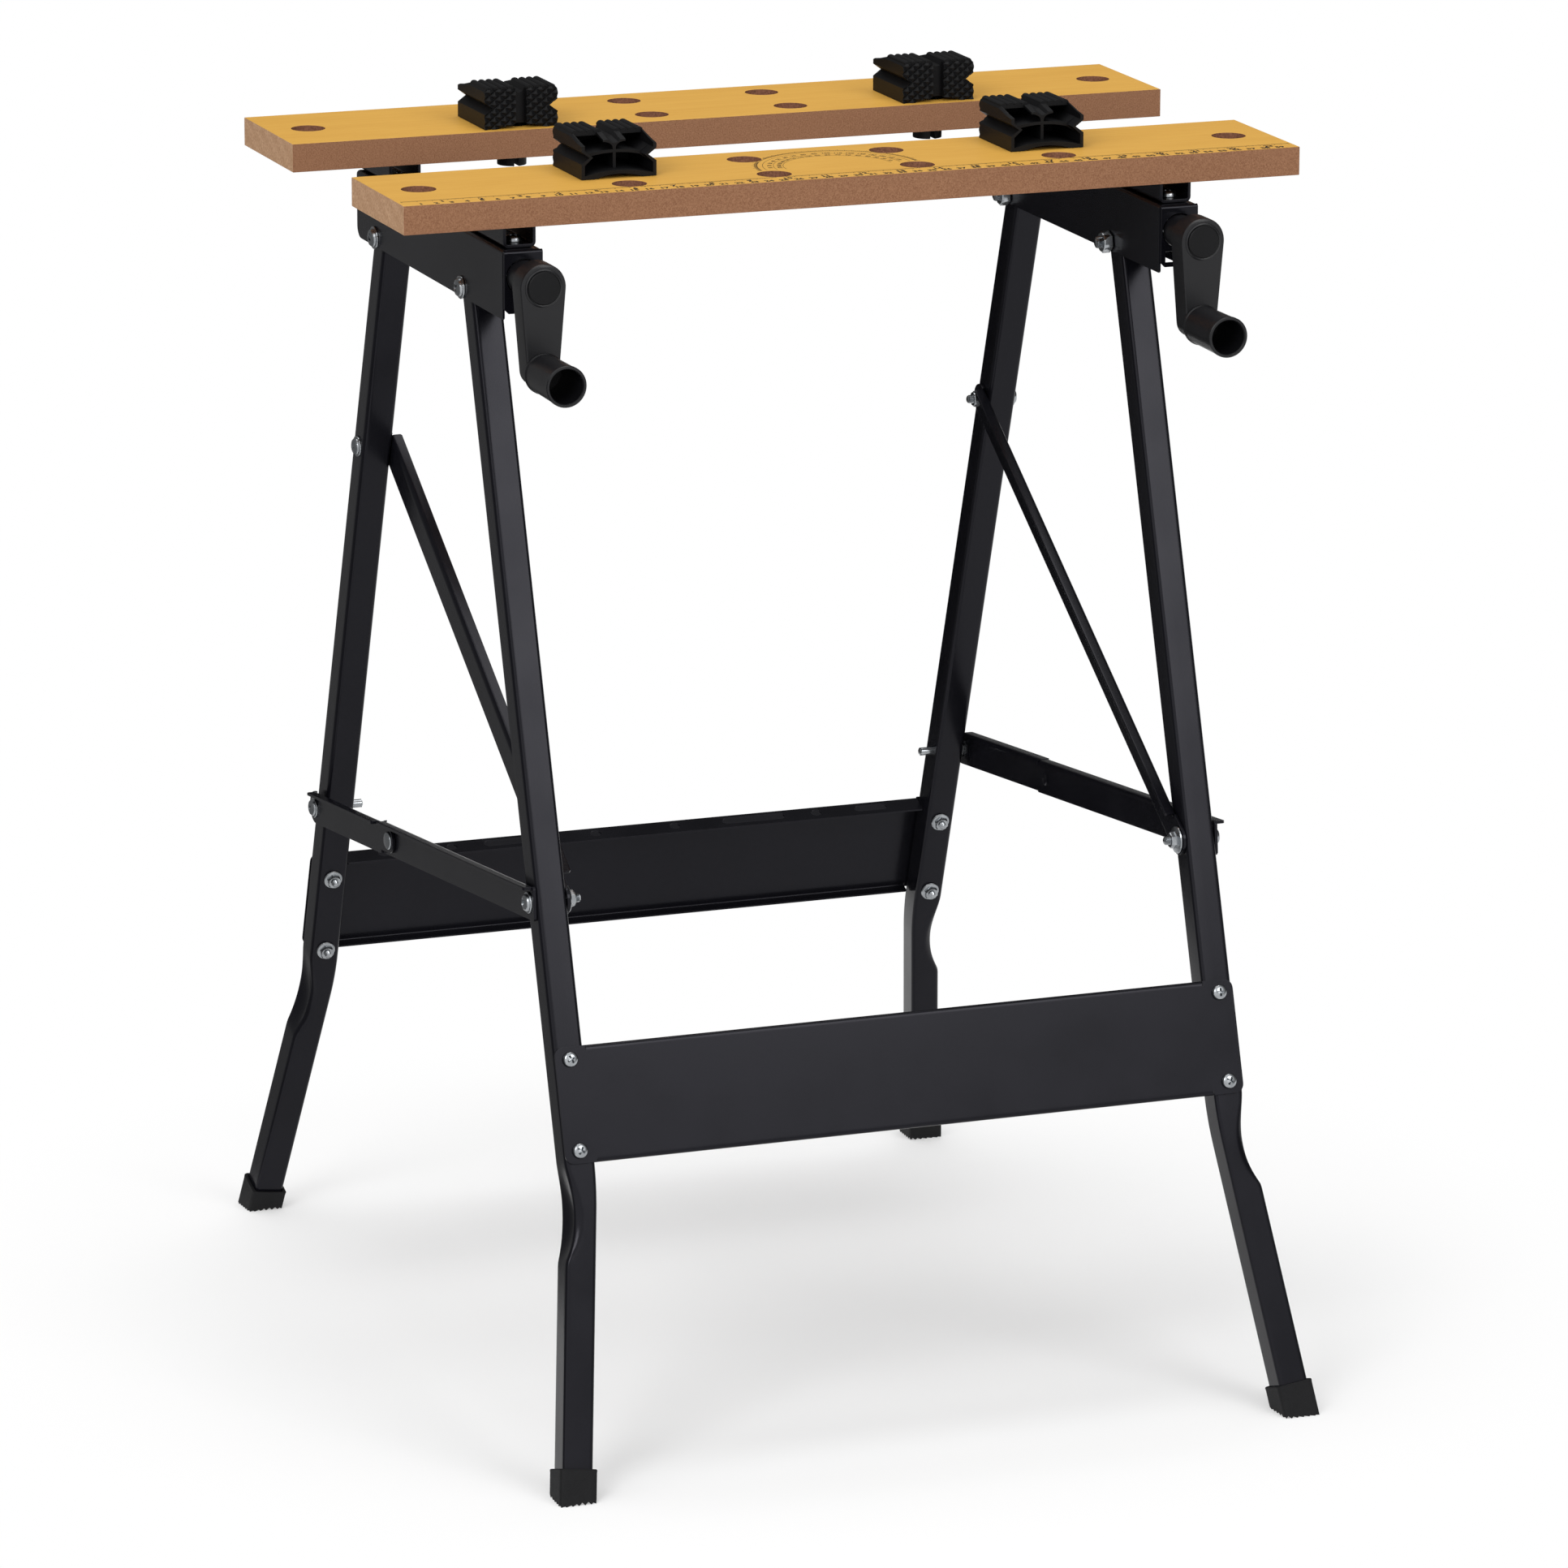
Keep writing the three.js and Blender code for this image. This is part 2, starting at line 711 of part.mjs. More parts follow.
const capFront = armFront - seatGap - capThickness;
addPair(workbench, "spindle", spindle(), zinc);
addPair(workbench, "spindle_nut", spindleNut(), zinc);
addPair(workbench, "crank", crank(), blackPlastic);
addPair(
  workbench,
  "crank_cap",
  join(rodY(capRadius, capFront, armFront - seatGap, railCentreX, spindleZ, largeRound)),
  blackPlastic,
);

// Legs hang in a frame at their top pivots: local -Z runs down the leg, local Y is square to it.

function legFrame(pivotY, lean) {
  const frame = new THREE.Group();
  frame.position.set(0, pivotY, pivotZ);
  frame.rotation.x = lean;
  frame.updateMatrix();
  workbench.add(frame);
  return frame;
}

const frontLegs = legFrame(frontPivotY, -legLean);
const rearLegs = legFrame(rearPivotY, legLean);

function lowerAxisX(z) {
  return railCentreX + Math.tan(lowerSplay) * Math.max(0, -z - kneeDistance);
}

function legSkin(half, corner, top, bottom) {
  const kneeTop = -kneeDistance + kneeHalfLength;
  const kneeLow = -kneeDistance - kneeHalfLength;
  return loft([
    squareRing(railCentreX, top, half, corner, 0),
    squareRing(railCentreX, kneeTop, half, corner, 0),
    squareRing(railCentreX + kneeRounding, -kneeDistance, half, corner, lowerSplay / 2),
    squareRing(lowerAxisX(kneeLow), kneeLow, half, corner, lowerSplay),
    squareRing(lowerAxisX(bottom), bottom, half, corner, lowerSplay),
  ]);
}

const legEnd = -legReach + soleThickness;
const trayScrewDistances = [
  trayTopDistance + trayScrewInset,
  trayTopDistance + trayHeight - trayScrewInset,
];

function leg(linkBoltDistances) {
  const outside = legSkin(legHalf, legCorner, legTopReach, legEnd);
  const inside = legSkin(legHalf - legWall, legCorner - legWall, legTopReach + 1, legEnd - 1);
  const left = legInnerX - 1;
  const right = legOuterX + 1;
  const holes = [rodX(pivotBoltRadius + boltClearance, left, right, 0, 0)];
  for (const distance of linkBoltDistances) {
    holes.push(rodX(linkBoltRadius + boltClearance, left, right, 0, -distance));
  }
  for (const distance of trayScrewDistances) {
    holes.push(rodY(trayScrewRadius + boltClearance, -legHalf - 1, legHalf + 1, railCentreX, -distance));
  }
  return cut(outside, inside, ...holes);
}

function foot(frame) {
  const toLeg = frame.matrix.clone().invert();
  const top = -legReach + footHeight;
  const belowFloor = -legReach - footHeight;
  const body = loft([
    squareRing(lowerAxisX(top), top, footSide / 2, footCorner, lowerSplay),
    squareRing(lowerAxisX(belowFloor), belowFloor, footSide / 2, footCorner, lowerSplay),
  ]);
  const socketHalf = legHalf + seatGap;
  const socketEnd = legEnd - seatGap;
  const socket = loft([
    squareRing(lowerAxisX(top + footHeight), top + footHeight, socketHalf, legCorner, lowerSplay),
    squareRing(lowerAxisX(socketEnd), socketEnd, socketHalf, legCorner, lowerSplay),
  ]);
  const reach = 2 * boardLength;
  const ground = boxBetween(-reach, reach, -reach, reach, -reach, 0).applyMatrix4(toLeg);
  return cut(body, socket, ground);
}

addPair(frontLegs, "leg_front", leg([braceFrontDistance]), blackPaint);
addPair(rearLegs, "leg_rear", leg([strutUpperDistance, braceRearDistance]), blackPaint);
addPair(frontLegs, "foot_front", foot(frontLegs), blackRubber);
addPair(rearLegs, "foot_rear", foot(rearLegs), blackRubber);

// Tool trays: web on the outer face of both legs, slotted flange on top, short lip below

function toolTray(outward) {
  const face = legHalf + seatGap;
  const span = (near, far) => (outward > 0 ? [near, far] : [-far, -near]);
  const topZ = -trayTopDistance;
  const lowZ = topZ - trayHeight;
  const web = rectangle(-legOuterX, legOuterX, lowZ, topZ, trayCorner);
  for (const side of [-1, 1]) {
    for (const distance of trayScrewDistances) {
      web.holes.push(circle(side * railCentreX, -distance, trayScrewRadius + boltClearance));
    }
  }
  const innerEnd = legInnerX - trayEndGap;
  const flangeSpan = span(face + traySheet - trayFlangeDepth, face + traySheet);
  const flange = rectangle(-innerEnd, innerEnd, flangeSpan[0], flangeSpan[1]);
  const slotY = outward * (face + (traySheet - trayFlangeDepth) / 2);
  for (const side of [-1, 1]) {
    flange.holes.push(circle(side * trayPitch * 0.5, slotY, trayRoundHole));
    flange.holes.push(slot(side * trayPitch * 1.5, slotY, trayLongSlot, trayLongSlot, traySlotHalfWidth));
    flange.holes.push(circle(side * trayPitch * 2.3, slotY, trayRoundHole));
    flange.holes.push(slot(side * trayPitch * 3, slotY, trayShortSlot, trayShortSlot, traySlotHalfWidth));
  }
  const lipSpan = span(face + traySheet - trayLipDepth, face + traySheet);
  return join(
    plateXZ(web, ...span(face, face + traySheet), 4),
    plateXY(flange, topZ - traySheet, topZ, 5),
    boxBetween(-innerEnd, innerEnd, ...lipSpan, lowZ, lowZ + traySheet),
  );
}

add(frontLegs, "front_tool_tray", toolTray(-1), blackPaint);
add(rearLegs, "rear_tool_tray", toolTray(1), blackPaint);

const trayScrew = {
  headRadius: trayHeadRadius,
  headHeight: trayHeadHeight,
  radius: trayScrewRadius,
  grip: legTube + traySheet + 3 * seatGap,
};
const trayHeadY = legHalf + traySheet + 2 * seatGap;
trayScrewDistances.forEach((distance, i) => {
  const place = i === 0 ? "upper" : "lower";
  const rearScrewShape = screw(trayScrew).translate(railCentreX, trayHeadY, -distance);
  const frontScrewShape = screw(trayScrew).rotateX(Math.PI).translate(railCentreX, -trayHeadY, -distance);
  addPair(frontLegs, `tray_screw_front_${place}`, frontScrewShape, zinc);
  addPair(rearLegs, `tray_screw_rear_${place}`, rearScrewShape, zinc);
});

// Pivot bolts through the rails and leg tops

const pivotBolt = {
  headRadius: pivotHeadRadius,
  headHeight: pivotHeadHeight,
  radius: pivotBoltRadius,
  grip: railWidth + 2 * seatGap,
};
addPair(workbench, "pivot_bolt_front", screwX(pivotBolt, railOuterX + seatGap, frontPivotY, pivotZ), zinc);
addPair(workbench, "pivot_bolt_rear", screwX(pivotBolt, railOuterX + seatGap, rearPivotY, pivotZ), zinc);

// Folding linkage. Each bar lies in a frame whose local +Y runs from its front pivot to its rear pivot.

function pivotOn(frame, distance) {
  const point = new THREE.Vector3(0, 0, -distance).applyMatrix4(frame.matrix);
  return new THREE.Vector2(point.y, point.z);
}

const strutUpperPivot = pivotOn(rearLegs, strutUpperDistance);
const braceFrontPivot = pivotOn(frontLegs, braceFrontDistance);
const braceRearPivot = pivotOn(rearLegs, braceRearDistance);
const braceSpan = braceFrontPivot.distanceTo(braceRearPivot);
const frontLinkLength = braceSpan - rearLinkLength;
const bracePivot = braceFrontPivot.clone().lerp(braceRearPivot, frontLinkLength / braceSpan);

function barFrame(from, to) {
  const frame = new THREE.Group();
  frame.position.set(0, from.x, from.y);
  frame.rotation.x = Math.atan2(to.y - from.y, to.x - from.x);
  workbench.add(frame);
  return frame;
}

const strutFrame = barFrame(braceFrontPivot, strutUpperPivot);
const frontLinkFrame = barFrame(braceFrontPivot, bracePivot);
const rearLinkFrame = barFrame(bracePivot, braceRearPivot);

// Strut: angle bar on the inner faces of the legs, flange turned inwards along its upper edge.
function strut() {
  const length = braceFrontPivot.distanceTo(strutUpperPivot);
  const half = strutWidth / 2;
  const outline = new THREE.Shape();
  outline.absarc(length, 0, half, -Math.PI / 2, Math.PI / 2, false);
  outline.absarc(0, 0, half, Math.PI / 2, 1.5 * Math.PI, false);
  outline.closePath();
  const holeRadius = linkBoltRadius + boltClearance;
  outline.holes.push(circle(length, 0, holeRadius));
  outline.holes.push(slot(0, 0, openPivotBelow, openPivotAbove, holeRadius, openPivotTilt));
  const flange = boxBetween(
    strutOuterX - strutFlange,
    strutOuterX,
    strutFlangeInset,
    length,
    half - strutSheet,
    half,
  );
  return join(plateYZ(outline, strutInnerX, strutOuterX, smallRound / 2), flange);
}

// Front brace link: lies between the leg and the rear link, flange turned outwards along its top edge.
function frontLink() {
  const half = linkHeight / 2;
  const plate = rectangle(-linkNose, frontLinkLength + linkTail, -half, half, linkCorner);
  plate.holes.push(circle(0, 0, linkBoltRadius + boltClearance));
  const flange = boxBetween(
    frontLinkX,
    frontLinkX + linkFlange,
    frontFlangeStart,
    frontLinkLength - midPivotFlangeClearance,
    half - linkSheet,
    half,
  );
  const tailInner = frontLinkX - rivetTailHeight;
  const tail = rodX(rivetTailRadius, tailInner, frontLinkX + linkSheet / 2, frontLinkLength, 0);
  return join(plateYZ(plate, frontLinkX, frontLinkX + linkSheet, smallRound / 2), flange, tail);
}

// Rear brace link: outermost plate, stepped down and rounded where it laps over the front link.
function rearLink() {
  const half = linkHeight / 2;
  const plate = new THREE.Shape();
  plate.absarc(rearLinkLength, 0, half, -Math.PI / 2, Math.PI / 2, false);
  plate.lineTo(rearFlangeStart, half);
  plate.lineTo(rearFlangeStart, rearEndRadius);
  plate.absarc(0, 0, rearEndRadius, Math.PI / 2, 1.5 * Math.PI, false);
  plate.lineTo(rearFlangeStart, -half);
  plate.closePath();
  plate.holes.push(circle(0, 0, rivetRadius + boltClearance));
  plate.holes.push(circle(rearLinkLength, 0, linkBoltRadius + boltClearance));
  const flange = boxBetween(
    rearLinkX,
    rearLinkX + linkFlange,
    rearFlangeStart,
    rearFlangeEnd,
    half - linkSheet,
    half,
  );
  return join(plateYZ(plate, rearLinkX, rearLinkX + linkSheet, smallRound / 2), flange);
}

addPair(strutFrame, "strut", strut(), blackPaint);
addPair(frontLinkFrame, "brace_link_front", frontLink(), blackPaint);
addPair(rearLinkFrame, "brace_link_rear", rearLink(), blackPaint);

// Bolts and rivets of the linkage

const linkHead = { headRadius: linkHeadRadius, headHeight: linkHeadHeight, radius: linkBoltRadius };
const strutBoltX = legOuterX + seatGap;
const frontBoltX = frontLinkX + linkSheet + seatGap;
const rearBoltX = rearLinkX + linkSheet + seatGap;
const strutBolt = screwX(
  { ...linkHead, grip: strutBoltX - strutInnerX + seatGap }, strutBoltX, 0, -strutUpperDistance,
);
const braceFrontBolt = screwX(
  { ...linkHead, grip: frontBoltX - strutInnerX + seatGap, nutFlange: nutFlangeRadius },
  frontBoltX, 0, -braceFrontDistance,
);
const spacer = {
  radius: linkHeadRadius - 1,
  from: rearLinkX - seatGap - rearBoltX,
  to: legOuterX + seatGap - rearBoltX,
};
const braceRearBolt = screwX(
  { ...linkHead, grip: rearBoltX - legInnerX, nut: false, tail: studEnd, collar: spacer },
  rearBoltX, 0, -braceRearDistance,
);
const rivet = screwX(
  { headRadius: rivetHeadRadius, headHeight: rivetHeadHeight, radius: rivetRadius,
    grip: linkSheet + seatGap, nut: false, tail: 0 },
  rearBoltX, 0, 0,
);
addPair(rearLegs, "strut_bolt", strutBolt, zinc);
addPair(frontLegs, "brace_bolt_front", braceFrontBolt, zinc);
addPair(rearLegs, "brace_bolt_rear", braceRearBolt, zinc);
addPair(rearLinkFrame, "brace_rivet", rivet, zinc);

export default workbench;
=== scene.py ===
from math import asin, cos, degrees, hypot, pi, radians, sin, tan

import bmesh
import bpy
from mathutils import Matrix, Vector


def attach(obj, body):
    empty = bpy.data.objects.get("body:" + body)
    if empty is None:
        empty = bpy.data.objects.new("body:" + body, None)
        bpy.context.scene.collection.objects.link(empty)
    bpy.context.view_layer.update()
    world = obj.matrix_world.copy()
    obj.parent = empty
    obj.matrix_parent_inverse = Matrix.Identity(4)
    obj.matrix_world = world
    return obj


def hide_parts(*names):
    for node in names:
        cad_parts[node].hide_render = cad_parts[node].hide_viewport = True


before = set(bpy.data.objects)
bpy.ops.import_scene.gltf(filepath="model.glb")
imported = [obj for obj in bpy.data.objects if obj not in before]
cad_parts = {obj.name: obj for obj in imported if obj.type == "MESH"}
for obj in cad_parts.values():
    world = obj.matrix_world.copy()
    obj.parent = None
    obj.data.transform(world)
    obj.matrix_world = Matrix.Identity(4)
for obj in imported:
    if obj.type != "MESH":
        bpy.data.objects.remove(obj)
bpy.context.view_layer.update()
print("frame loaded with", len(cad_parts), "nodes")

# the bench is drawn in millimetres and scaled to metres when a piece is finished
sides = {"right": 1, "left": -1}


def linear(hexCode):
    parts = [int(hexCode[i:i + 2], 16) / 255 for i in (1, 3, 5)]
    return [p / 12.92 if p <= 0.04045 else ((p + 0.055) / 1.055) ** 2.4 for p in parts] + [1.0]


# adds one node and gives back one of its outputs, or all; an input is a value, a hex colour or a socket
def addNode(tree, kind, inputs={}, out=0, **settings):
    node = tree.nodes.new(kind)
    for key, value in settings.items():
        setattr(node, key, value)
    for key, value in inputs.items():
        if isinstance(value, bpy.types.NodeSocket):
            tree.links.new(value, node.inputs[key])
        else:
            node.inputs[key].default_value = linear(value) if str(value).startswith("#") else value
    return node.outputs if out == "all" else node.outputs[out]


# materials, on Object coordinates in metres; the sizes of their patterns are in millimetres

def startMaterial(name):
    material = bpy.data.materials.new(name)
    material.use_nodes = True
    tree = material.node_tree
    tree.nodes.clear()
    return material, tree, addNode(tree, "ShaderNodeTexCoord", out="Object")


def endMaterial(tree, sockets, kind="ShaderNodeBsdfPrincipled"):
    surface = addNode(tree, kind, sockets)
    addNode(tree, "ShaderNodeOutputMaterial", {"Surface": surface}, "all")


# printed wood-look film on MDF: honey colour, fine darker lines along the board, satin lacquer
def printedFilm():
    look = {
        "light": "#dca94b", "base": "#d7a346", "line": "#c38d36", "lineWidth": 0.55, "lineLength": 45,
        "cloud": 60}
    material, tree, place = startMaterial("printed_wood_film")
    thin = 1000 / look["lineWidth"]
    streaks = addNode(tree, "ShaderNodeMapping", {
        "Vector": place, "Scale": (1000 / look["lineLength"], thin, thin)})
    fine = addNode(tree, "ShaderNodeTexNoise", {"Vector": streaks, "Scale": 1, "Detail": 3})
    bands = addNode(tree, "ShaderNodeMapping", {"Vector": place, "Scale": (4, 1000 / look["cloud"], 40)})
    broad = addNode(tree, "ShaderNodeTexNoise", {"Vector": bands, "Scale": 4, "Detail": 2})
    line = addNode(tree, "ShaderNodeMapRange", {0: fine, 1: 0.46, 2: 0.72, 4: 0.32})
    tone = addNode(tree, "ShaderNodeMapRange", {0: broad, 1: 0.3, 2: 0.7})
    ground = addNode(tree, "ShaderNodeMix", {
        0: tone, 6: look["base"], 7: look["light"]}, 2, data_type="RGBA")
    colour = addNode(tree, "ShaderNodeMix", {0: line, 6: ground, 7: look["line"]}, 2, data_type="RGBA")
    gloss = addNode(tree, "ShaderNodeMapRange", {0: fine, 1: 0.3, 2: 0.7, 3: 0.36, 4: 0.46})
    relief = addNode(tree, "ShaderNodeBump", {"Strength": 0.15, "Distance": 0.00005, "Height": fine})
    endMaterial(tree, {"Base Color": colour, "Roughness": gloss, "Normal": relief, "IOR": 1.48})
    return material


# raw MDF: pressed fibre, dull, pinkish brown with pale and dark flecks; cut ends also show slanted saw marks
def pressedFibre(name, look):
    material, tree, place = startMaterial(name)
    flecks = addNode(tree, "ShaderNodeTexNoise", {
        "Vector": place, "Scale": 1000 / look["fleck"], "Detail": 4})
    fibre = addNode(tree, "ShaderNodeMapping", {"Vector": place, "Scale": (
        1000 / look["fibre"], 1000 / look["fibre"], 1000 / look["layer"])})
    layers = addNode(tree, "ShaderNodeTexNoise", {"Vector": fibre, "Scale": 1, "Detail": 3})
    spread = addNode(tree, "ShaderNodeMapRange", {0: flecks, 1: 0.32, 2: 0.68})
    shade = addNode(tree, "ShaderNodeMapRange", {0: layers, 1: 0.35, 2: 0.7, 4: 0.55})
    ground = addNode(tree, "ShaderNodeMix", {
        0: spread, 6: look["dark"], 7: look["light"]}, 2, data_type="RGBA")
    colour = addNode(tree, "ShaderNodeMix", {0: shade, 6: ground, 7: look["base"]}, 2, data_type="RGBA")
    height = flecks
    if look.get("sawMark"):
        slant = addNode(tree, "ShaderNodeMapping", {
            "Vector": place, "Rotation": (radians(look["slant"]), 0, 0)})
        height = addNode(tree, "ShaderNodeTexWave", {
            "Vector": slant, "Scale": 1000 / look["sawMark"] / (2 * pi), "Distortion": 1.2,
            "Detail": 2, "Detail Scale": 1.5}, 1, bands_direction="Y")
        mark = addNode(tree, "ShaderNodeMapRange", {0: height, 1: 0.2, 2: 0.9, 4: 0.28})
        colour = addNode(tree, "ShaderNodeMix", {0: mark, 6: colour, 7: look["mark"]}, 2, data_type="RGBA")
    relief = addNode(tree, "ShaderNodeBump", {"Strength": 0.35, "Distance": 0.00012, "Height": height})
    endMaterial(tree, {"Base Color": colour, "Normal": relief, "Roughness": 0.82, "IOR": 1.4})
    return material


# coated, moulded, plated or printed finish: noises tint it, vary its gloss and raise its skin
def unevenFinish(name, look, sockets):
    material, tree, place = startMaterial(name)
    noise = {}
    for label, (size, detail) in look["noise"].items():
        noise[label] = addNode(tree, "ShaderNodeTexNoise", {
            "Vector": place, "Scale": 1000 / size, "Detail": detail})
    share = noise[look["tint"]]
    if look.get("worn"):
        share = addNode(tree, "ShaderNodeMapRange", {0: share, 1: look["worn"][0], 2: look["worn"][1]})
    sockets["Base Color"] = addNode(tree, "ShaderNodeMix", {
        0: share, 6: look["base"], 7: look["other"]}, 2, data_type="RGBA")
    if look.get("gloss"):
        label, smooth, rough = look["gloss"]
        sockets["Roughness"] = addNode(tree, "ShaderNodeMapRange", {
            0: noise[label], 1: 0.3, 2: 0.7, 3: smooth, 4: rough})
    if look.get("relief"):
        label, strength, depth = look["relief"]
        sockets["Normal"] = addNode(tree, "ShaderNodeBump", {
            "Strength": strength, "Distance": depth / 1000, "Height": noise[label]})
    endMaterial(tree, sockets)
    return material


film = printedFilm()
rawMdf = pressedFibre("raw_mdf_edge", {
    "light": "#926a4d", "base": "#835b40", "dark": "#70482f", "fleck": 0.8, "fibre": 14, "layer": 0.8})
# cut ends: the same MDF made lighter as painted light, with real slanted saw marks
sawnMdfPaintedLight = pressedFibre("sawn_mdf_end_painted_light", {
    "light": "#be9b7a", "base": "#aa8565", "dark": "#946e4f", "fleck": 1.3, "fibre": 4, "layer": 1.5,
    "sawMark": 6, "slant": 60, "mark": "#96704f"})
# hole walls: the same MDF made darker, painted shade for the shadow inside the dog holes
drilledMdfPaintedShade = pressedFibre("drilled_mdf_wall_painted_shade", {
    "light": "#8a5d45", "base": "#774c38", "dark": "#5d3827", "fleck": 1.2, "fibre": 3, "layer": 1})
# powder coat on steel: glossy, with a cool sheen and a fine orange-peel ripple
paint = unevenFinish("black_powder_coat", {
    "base": "#0a0a0d", "other": "#0f0f14", "noise": {"peel": (1.6, 1), "cloud": (45, 3)}, "tint": "cloud",
    "gloss": ("cloud", 0.17, 0.25), "relief": ("peel", 0.05, 0.05)},
    {"IOR": 1.285, "Specular Tint": "#f4f3ff"})
# mouldings: satin polypropylene, duller nylon and matt rubber, each with the grain of its mould
plastic = unevenFinish("moulded_polypropylene", {
    "base": "#0b0b0e", "other": "#121215", "noise": {"grain": (0.5, 2), "cloud": (20, 2)}, "tint": "cloud",
    "gloss": ("grain", 0.29, 0.4), "relief": ("grain", 0.25, 0.08)}, {"IOR": 1.4})
gripPlastic = unevenFinish("moulded_nylon", {
    "base": "#09090a", "other": "#0e0e10", "noise": {"grain": (0.6, 2), "cloud": (14, 2)}, "tint": "cloud",
    "gloss": ("grain", 0.45, 0.56), "relief": ("grain", 0.3, 0.08)}, {"IOR": 1.26})
rubber = unevenFinish("moulded_rubber", {
    "base": "#0b0b0d", "other": "#111113", "noise": {"grain": (0.9, 2), "cloud": (9, 2)}, "tint": "cloud",
    "gloss": ("grain", 0.61, 0.72), "relief": ("grain", 0.4, 0.08)}, {"IOR": 1.3})
# zinc-plated steel: bright, slightly uneven plating with soft smears
zinc = unevenFinish("zinc_plated_steel", {
    "base": "#b6b9bc", "other": "#85898d", "noise": {"smear": (3.5, 4)}, "tint": "smear",
    "gloss": ("smear", 0.16, 0.32)}, {"Metallic": 1.0})
# dark brown screen-printing ink, thin and slightly broken
ink = unevenFinish("brown_printing_ink", {
    "base": "#1f1004", "other": "#40260d", "noise": {"grit": (0.7, 2)}, "tint": "grit", "worn": (0.5, 0.75)},
    {"Roughness": 0.5})
print("materials ready:", len(bpy.data.materials))


# mesh helpers, in millimetres

def newObject(name, data):
    holder = bpy.data.objects.new(name, data)
    bpy.context.scene.collection.objects.link(holder)
    return holder


# plain mesh of an object with its modifiers or curve settings applied
def applied(holder):
    graph = bpy.context.evaluated_depsgraph_get()
    mesh = bpy.data.meshes.new_from_object(holder.evaluated_get(graph), depsgraph=graph)
    bpy.data.objects.remove(holder)
    bm = bmesh.new()
    bm.from_mesh(mesh)
    return bm


def circle(x, y, radius, count=20):
    turn = [2 * pi * i / count for i in range(count)]
    return [(x + radius * cos(a), y + radius * sin(a)) for a in turn]


def arc(x, y, radius, start, end, count=10):
    turn = [radians(start + (end - start) * i / count) for i in range(count + 1)]
    return [(x + radius * cos(a), y + radius * sin(a)) for a in turn]


def slot(x, y, reach, halfWidth):
    return arc(x + reach, y, halfWidth, -90, 90) + arc(x - reach, y, halfWidth, 90, 270)


# a path that goes up on the right, closed by its reflection on the left; points on the axis aren't doubled
def mirrored(path):
    return path + [(-x, y) for x, y in reversed(path) if x > 1e-6]


def moved(bm, x, y, z):
    bm.transform(Matrix.Translation((x, y, z)))
    return bm


# flat plate from outlines, the rim first and then the holes; z from 0 to its thickness, edges broken
def plate(loops, thickness, edge=0.25):
    curve = bpy.data.curves.new("blank", "CURVE")
    curve.dimensions = "2D"
    curve.fill_mode = "BOTH"
    curve.extrude = thickness / 2 - edge
    curve.bevel_depth = edge
    curve.bevel_resolution = 1
    curve.offset = -edge
    for loop in loops:
        spline = curve.splines.new("POLY")
        spline.points.add(len(loop) - 1)
        for point, (x, y) in zip(spline.points, loop):
            point.co = (x, y, 0, 1)
        spline.use_cyclic_u = True
    bm = moved(applied(newObject("blank", curve)), 0, 0, thickness / 2)
    bmesh.ops.remove_doubles(bm, verts=bm.verts, dist=1e-3)
    bmesh.ops.recalc_face_normals(bm, faces=bm.faces)
    return bm


# length of sheet used up by a right-angle bend
def bendLength(radius, sheet):
    return (radius + sheet / 2) * pi / 2


# place on the flat blank of a point on a bent flange: reach of the outer face, depth along the flange
def unrolled(reach, depth, radius, sheet):
    return reach - 2 * (radius + sheet) + bendLength(radius, sheet) + depth


# presses the sheet beyond a line (axis 0 is x, 1 is y) through a right angle, up (+1) or down (-1)
def fold(bm, axis, reach, side, up, radius, sheet, between=(-1e4, 1e4)):
    start = reach - (radius + sheet)
    used = bendLength(radius, sheet)
    normal = Vector((1 - axis, axis, 0))
    for k in range(6):
        bmesh.ops.bisect_plane(
            bm, geom=bm.verts[:] + bm.edges[:] + bm.faces[:], dist=1e-4, plane_no=normal,
            plane_co=normal * side * (start + used * k / 5))
    for vert in bm.verts:
        past = side * vert.co[axis] - start
        if past <= 1e-6 or not between[0] < vert.co[1 - axis] < between[1]:
            continue
        turn = min(past / used, 1) * pi / 2
        extra = max(0, past - used)
        high = vert.co.z if up > 0 else sheet - vert.co.z
        swing = radius + sheet - high
        lift = sheet + radius - swing * cos(turn) + extra * sin(turn)
        vert.co[axis] = side * (start + swing * sin(turn) + extra * cos(turn))
        vert.co.z = lift if up > 0 else sheet - lift


# joins two rings of points with faces; a ring of one point is a tip
def bridge(bm, low, high):
    steps = max(len(low), len(high))
    for i in range(steps):
        j = (i + 1) % steps
        corners = [low[i % len(low)], low[j % len(low)], high[j % len(high)], high[i % len(high)]]
        bm.faces.new(list(dict.fromkeys(corners)))


# skin over rings of points, with a face over both ends where it is closed
def loft(rings, closed=True):
    bm = bmesh.new()
    rows = [[bm.verts.new(point) for point in ring] for ring in rings]
    for low, high in zip(rows, rows[1:]):
        bridge(bm, low, high)
    if closed:
        bm.faces.new(rows[0])
        bm.faces.new(rows[-1])
    bmesh.ops.recalc_face_normals(bm, faces=bm.faces)
    return bm


# turned shape about the Z axis from (radius, height) pairs
def lathe(profile, steps=32, place=Matrix()):
    rings = []
    for radius, height in profile:
        ring = circle(0, 0, radius, steps)[:1 if radius < 1e-6 else steps]
        rings.append([place @ Vector((x, y, height)) for x, y in ring])
    return loft(rings, closed=False)


def joined(*shapes):
    whole = bmesh.new()
    for shape in shapes:
        mesh = bpy.data.meshes.new("part")
        shape.to_mesh(mesh)
        shape.free()
        whole.from_mesh(mesh)
        bpy.data.meshes.remove(mesh)
    return whole


def asObject(bm):
    mesh = bpy.data.meshes.new("part")
    bm.to_mesh(mesh)
    bm.free()
    return newObject("part", mesh)


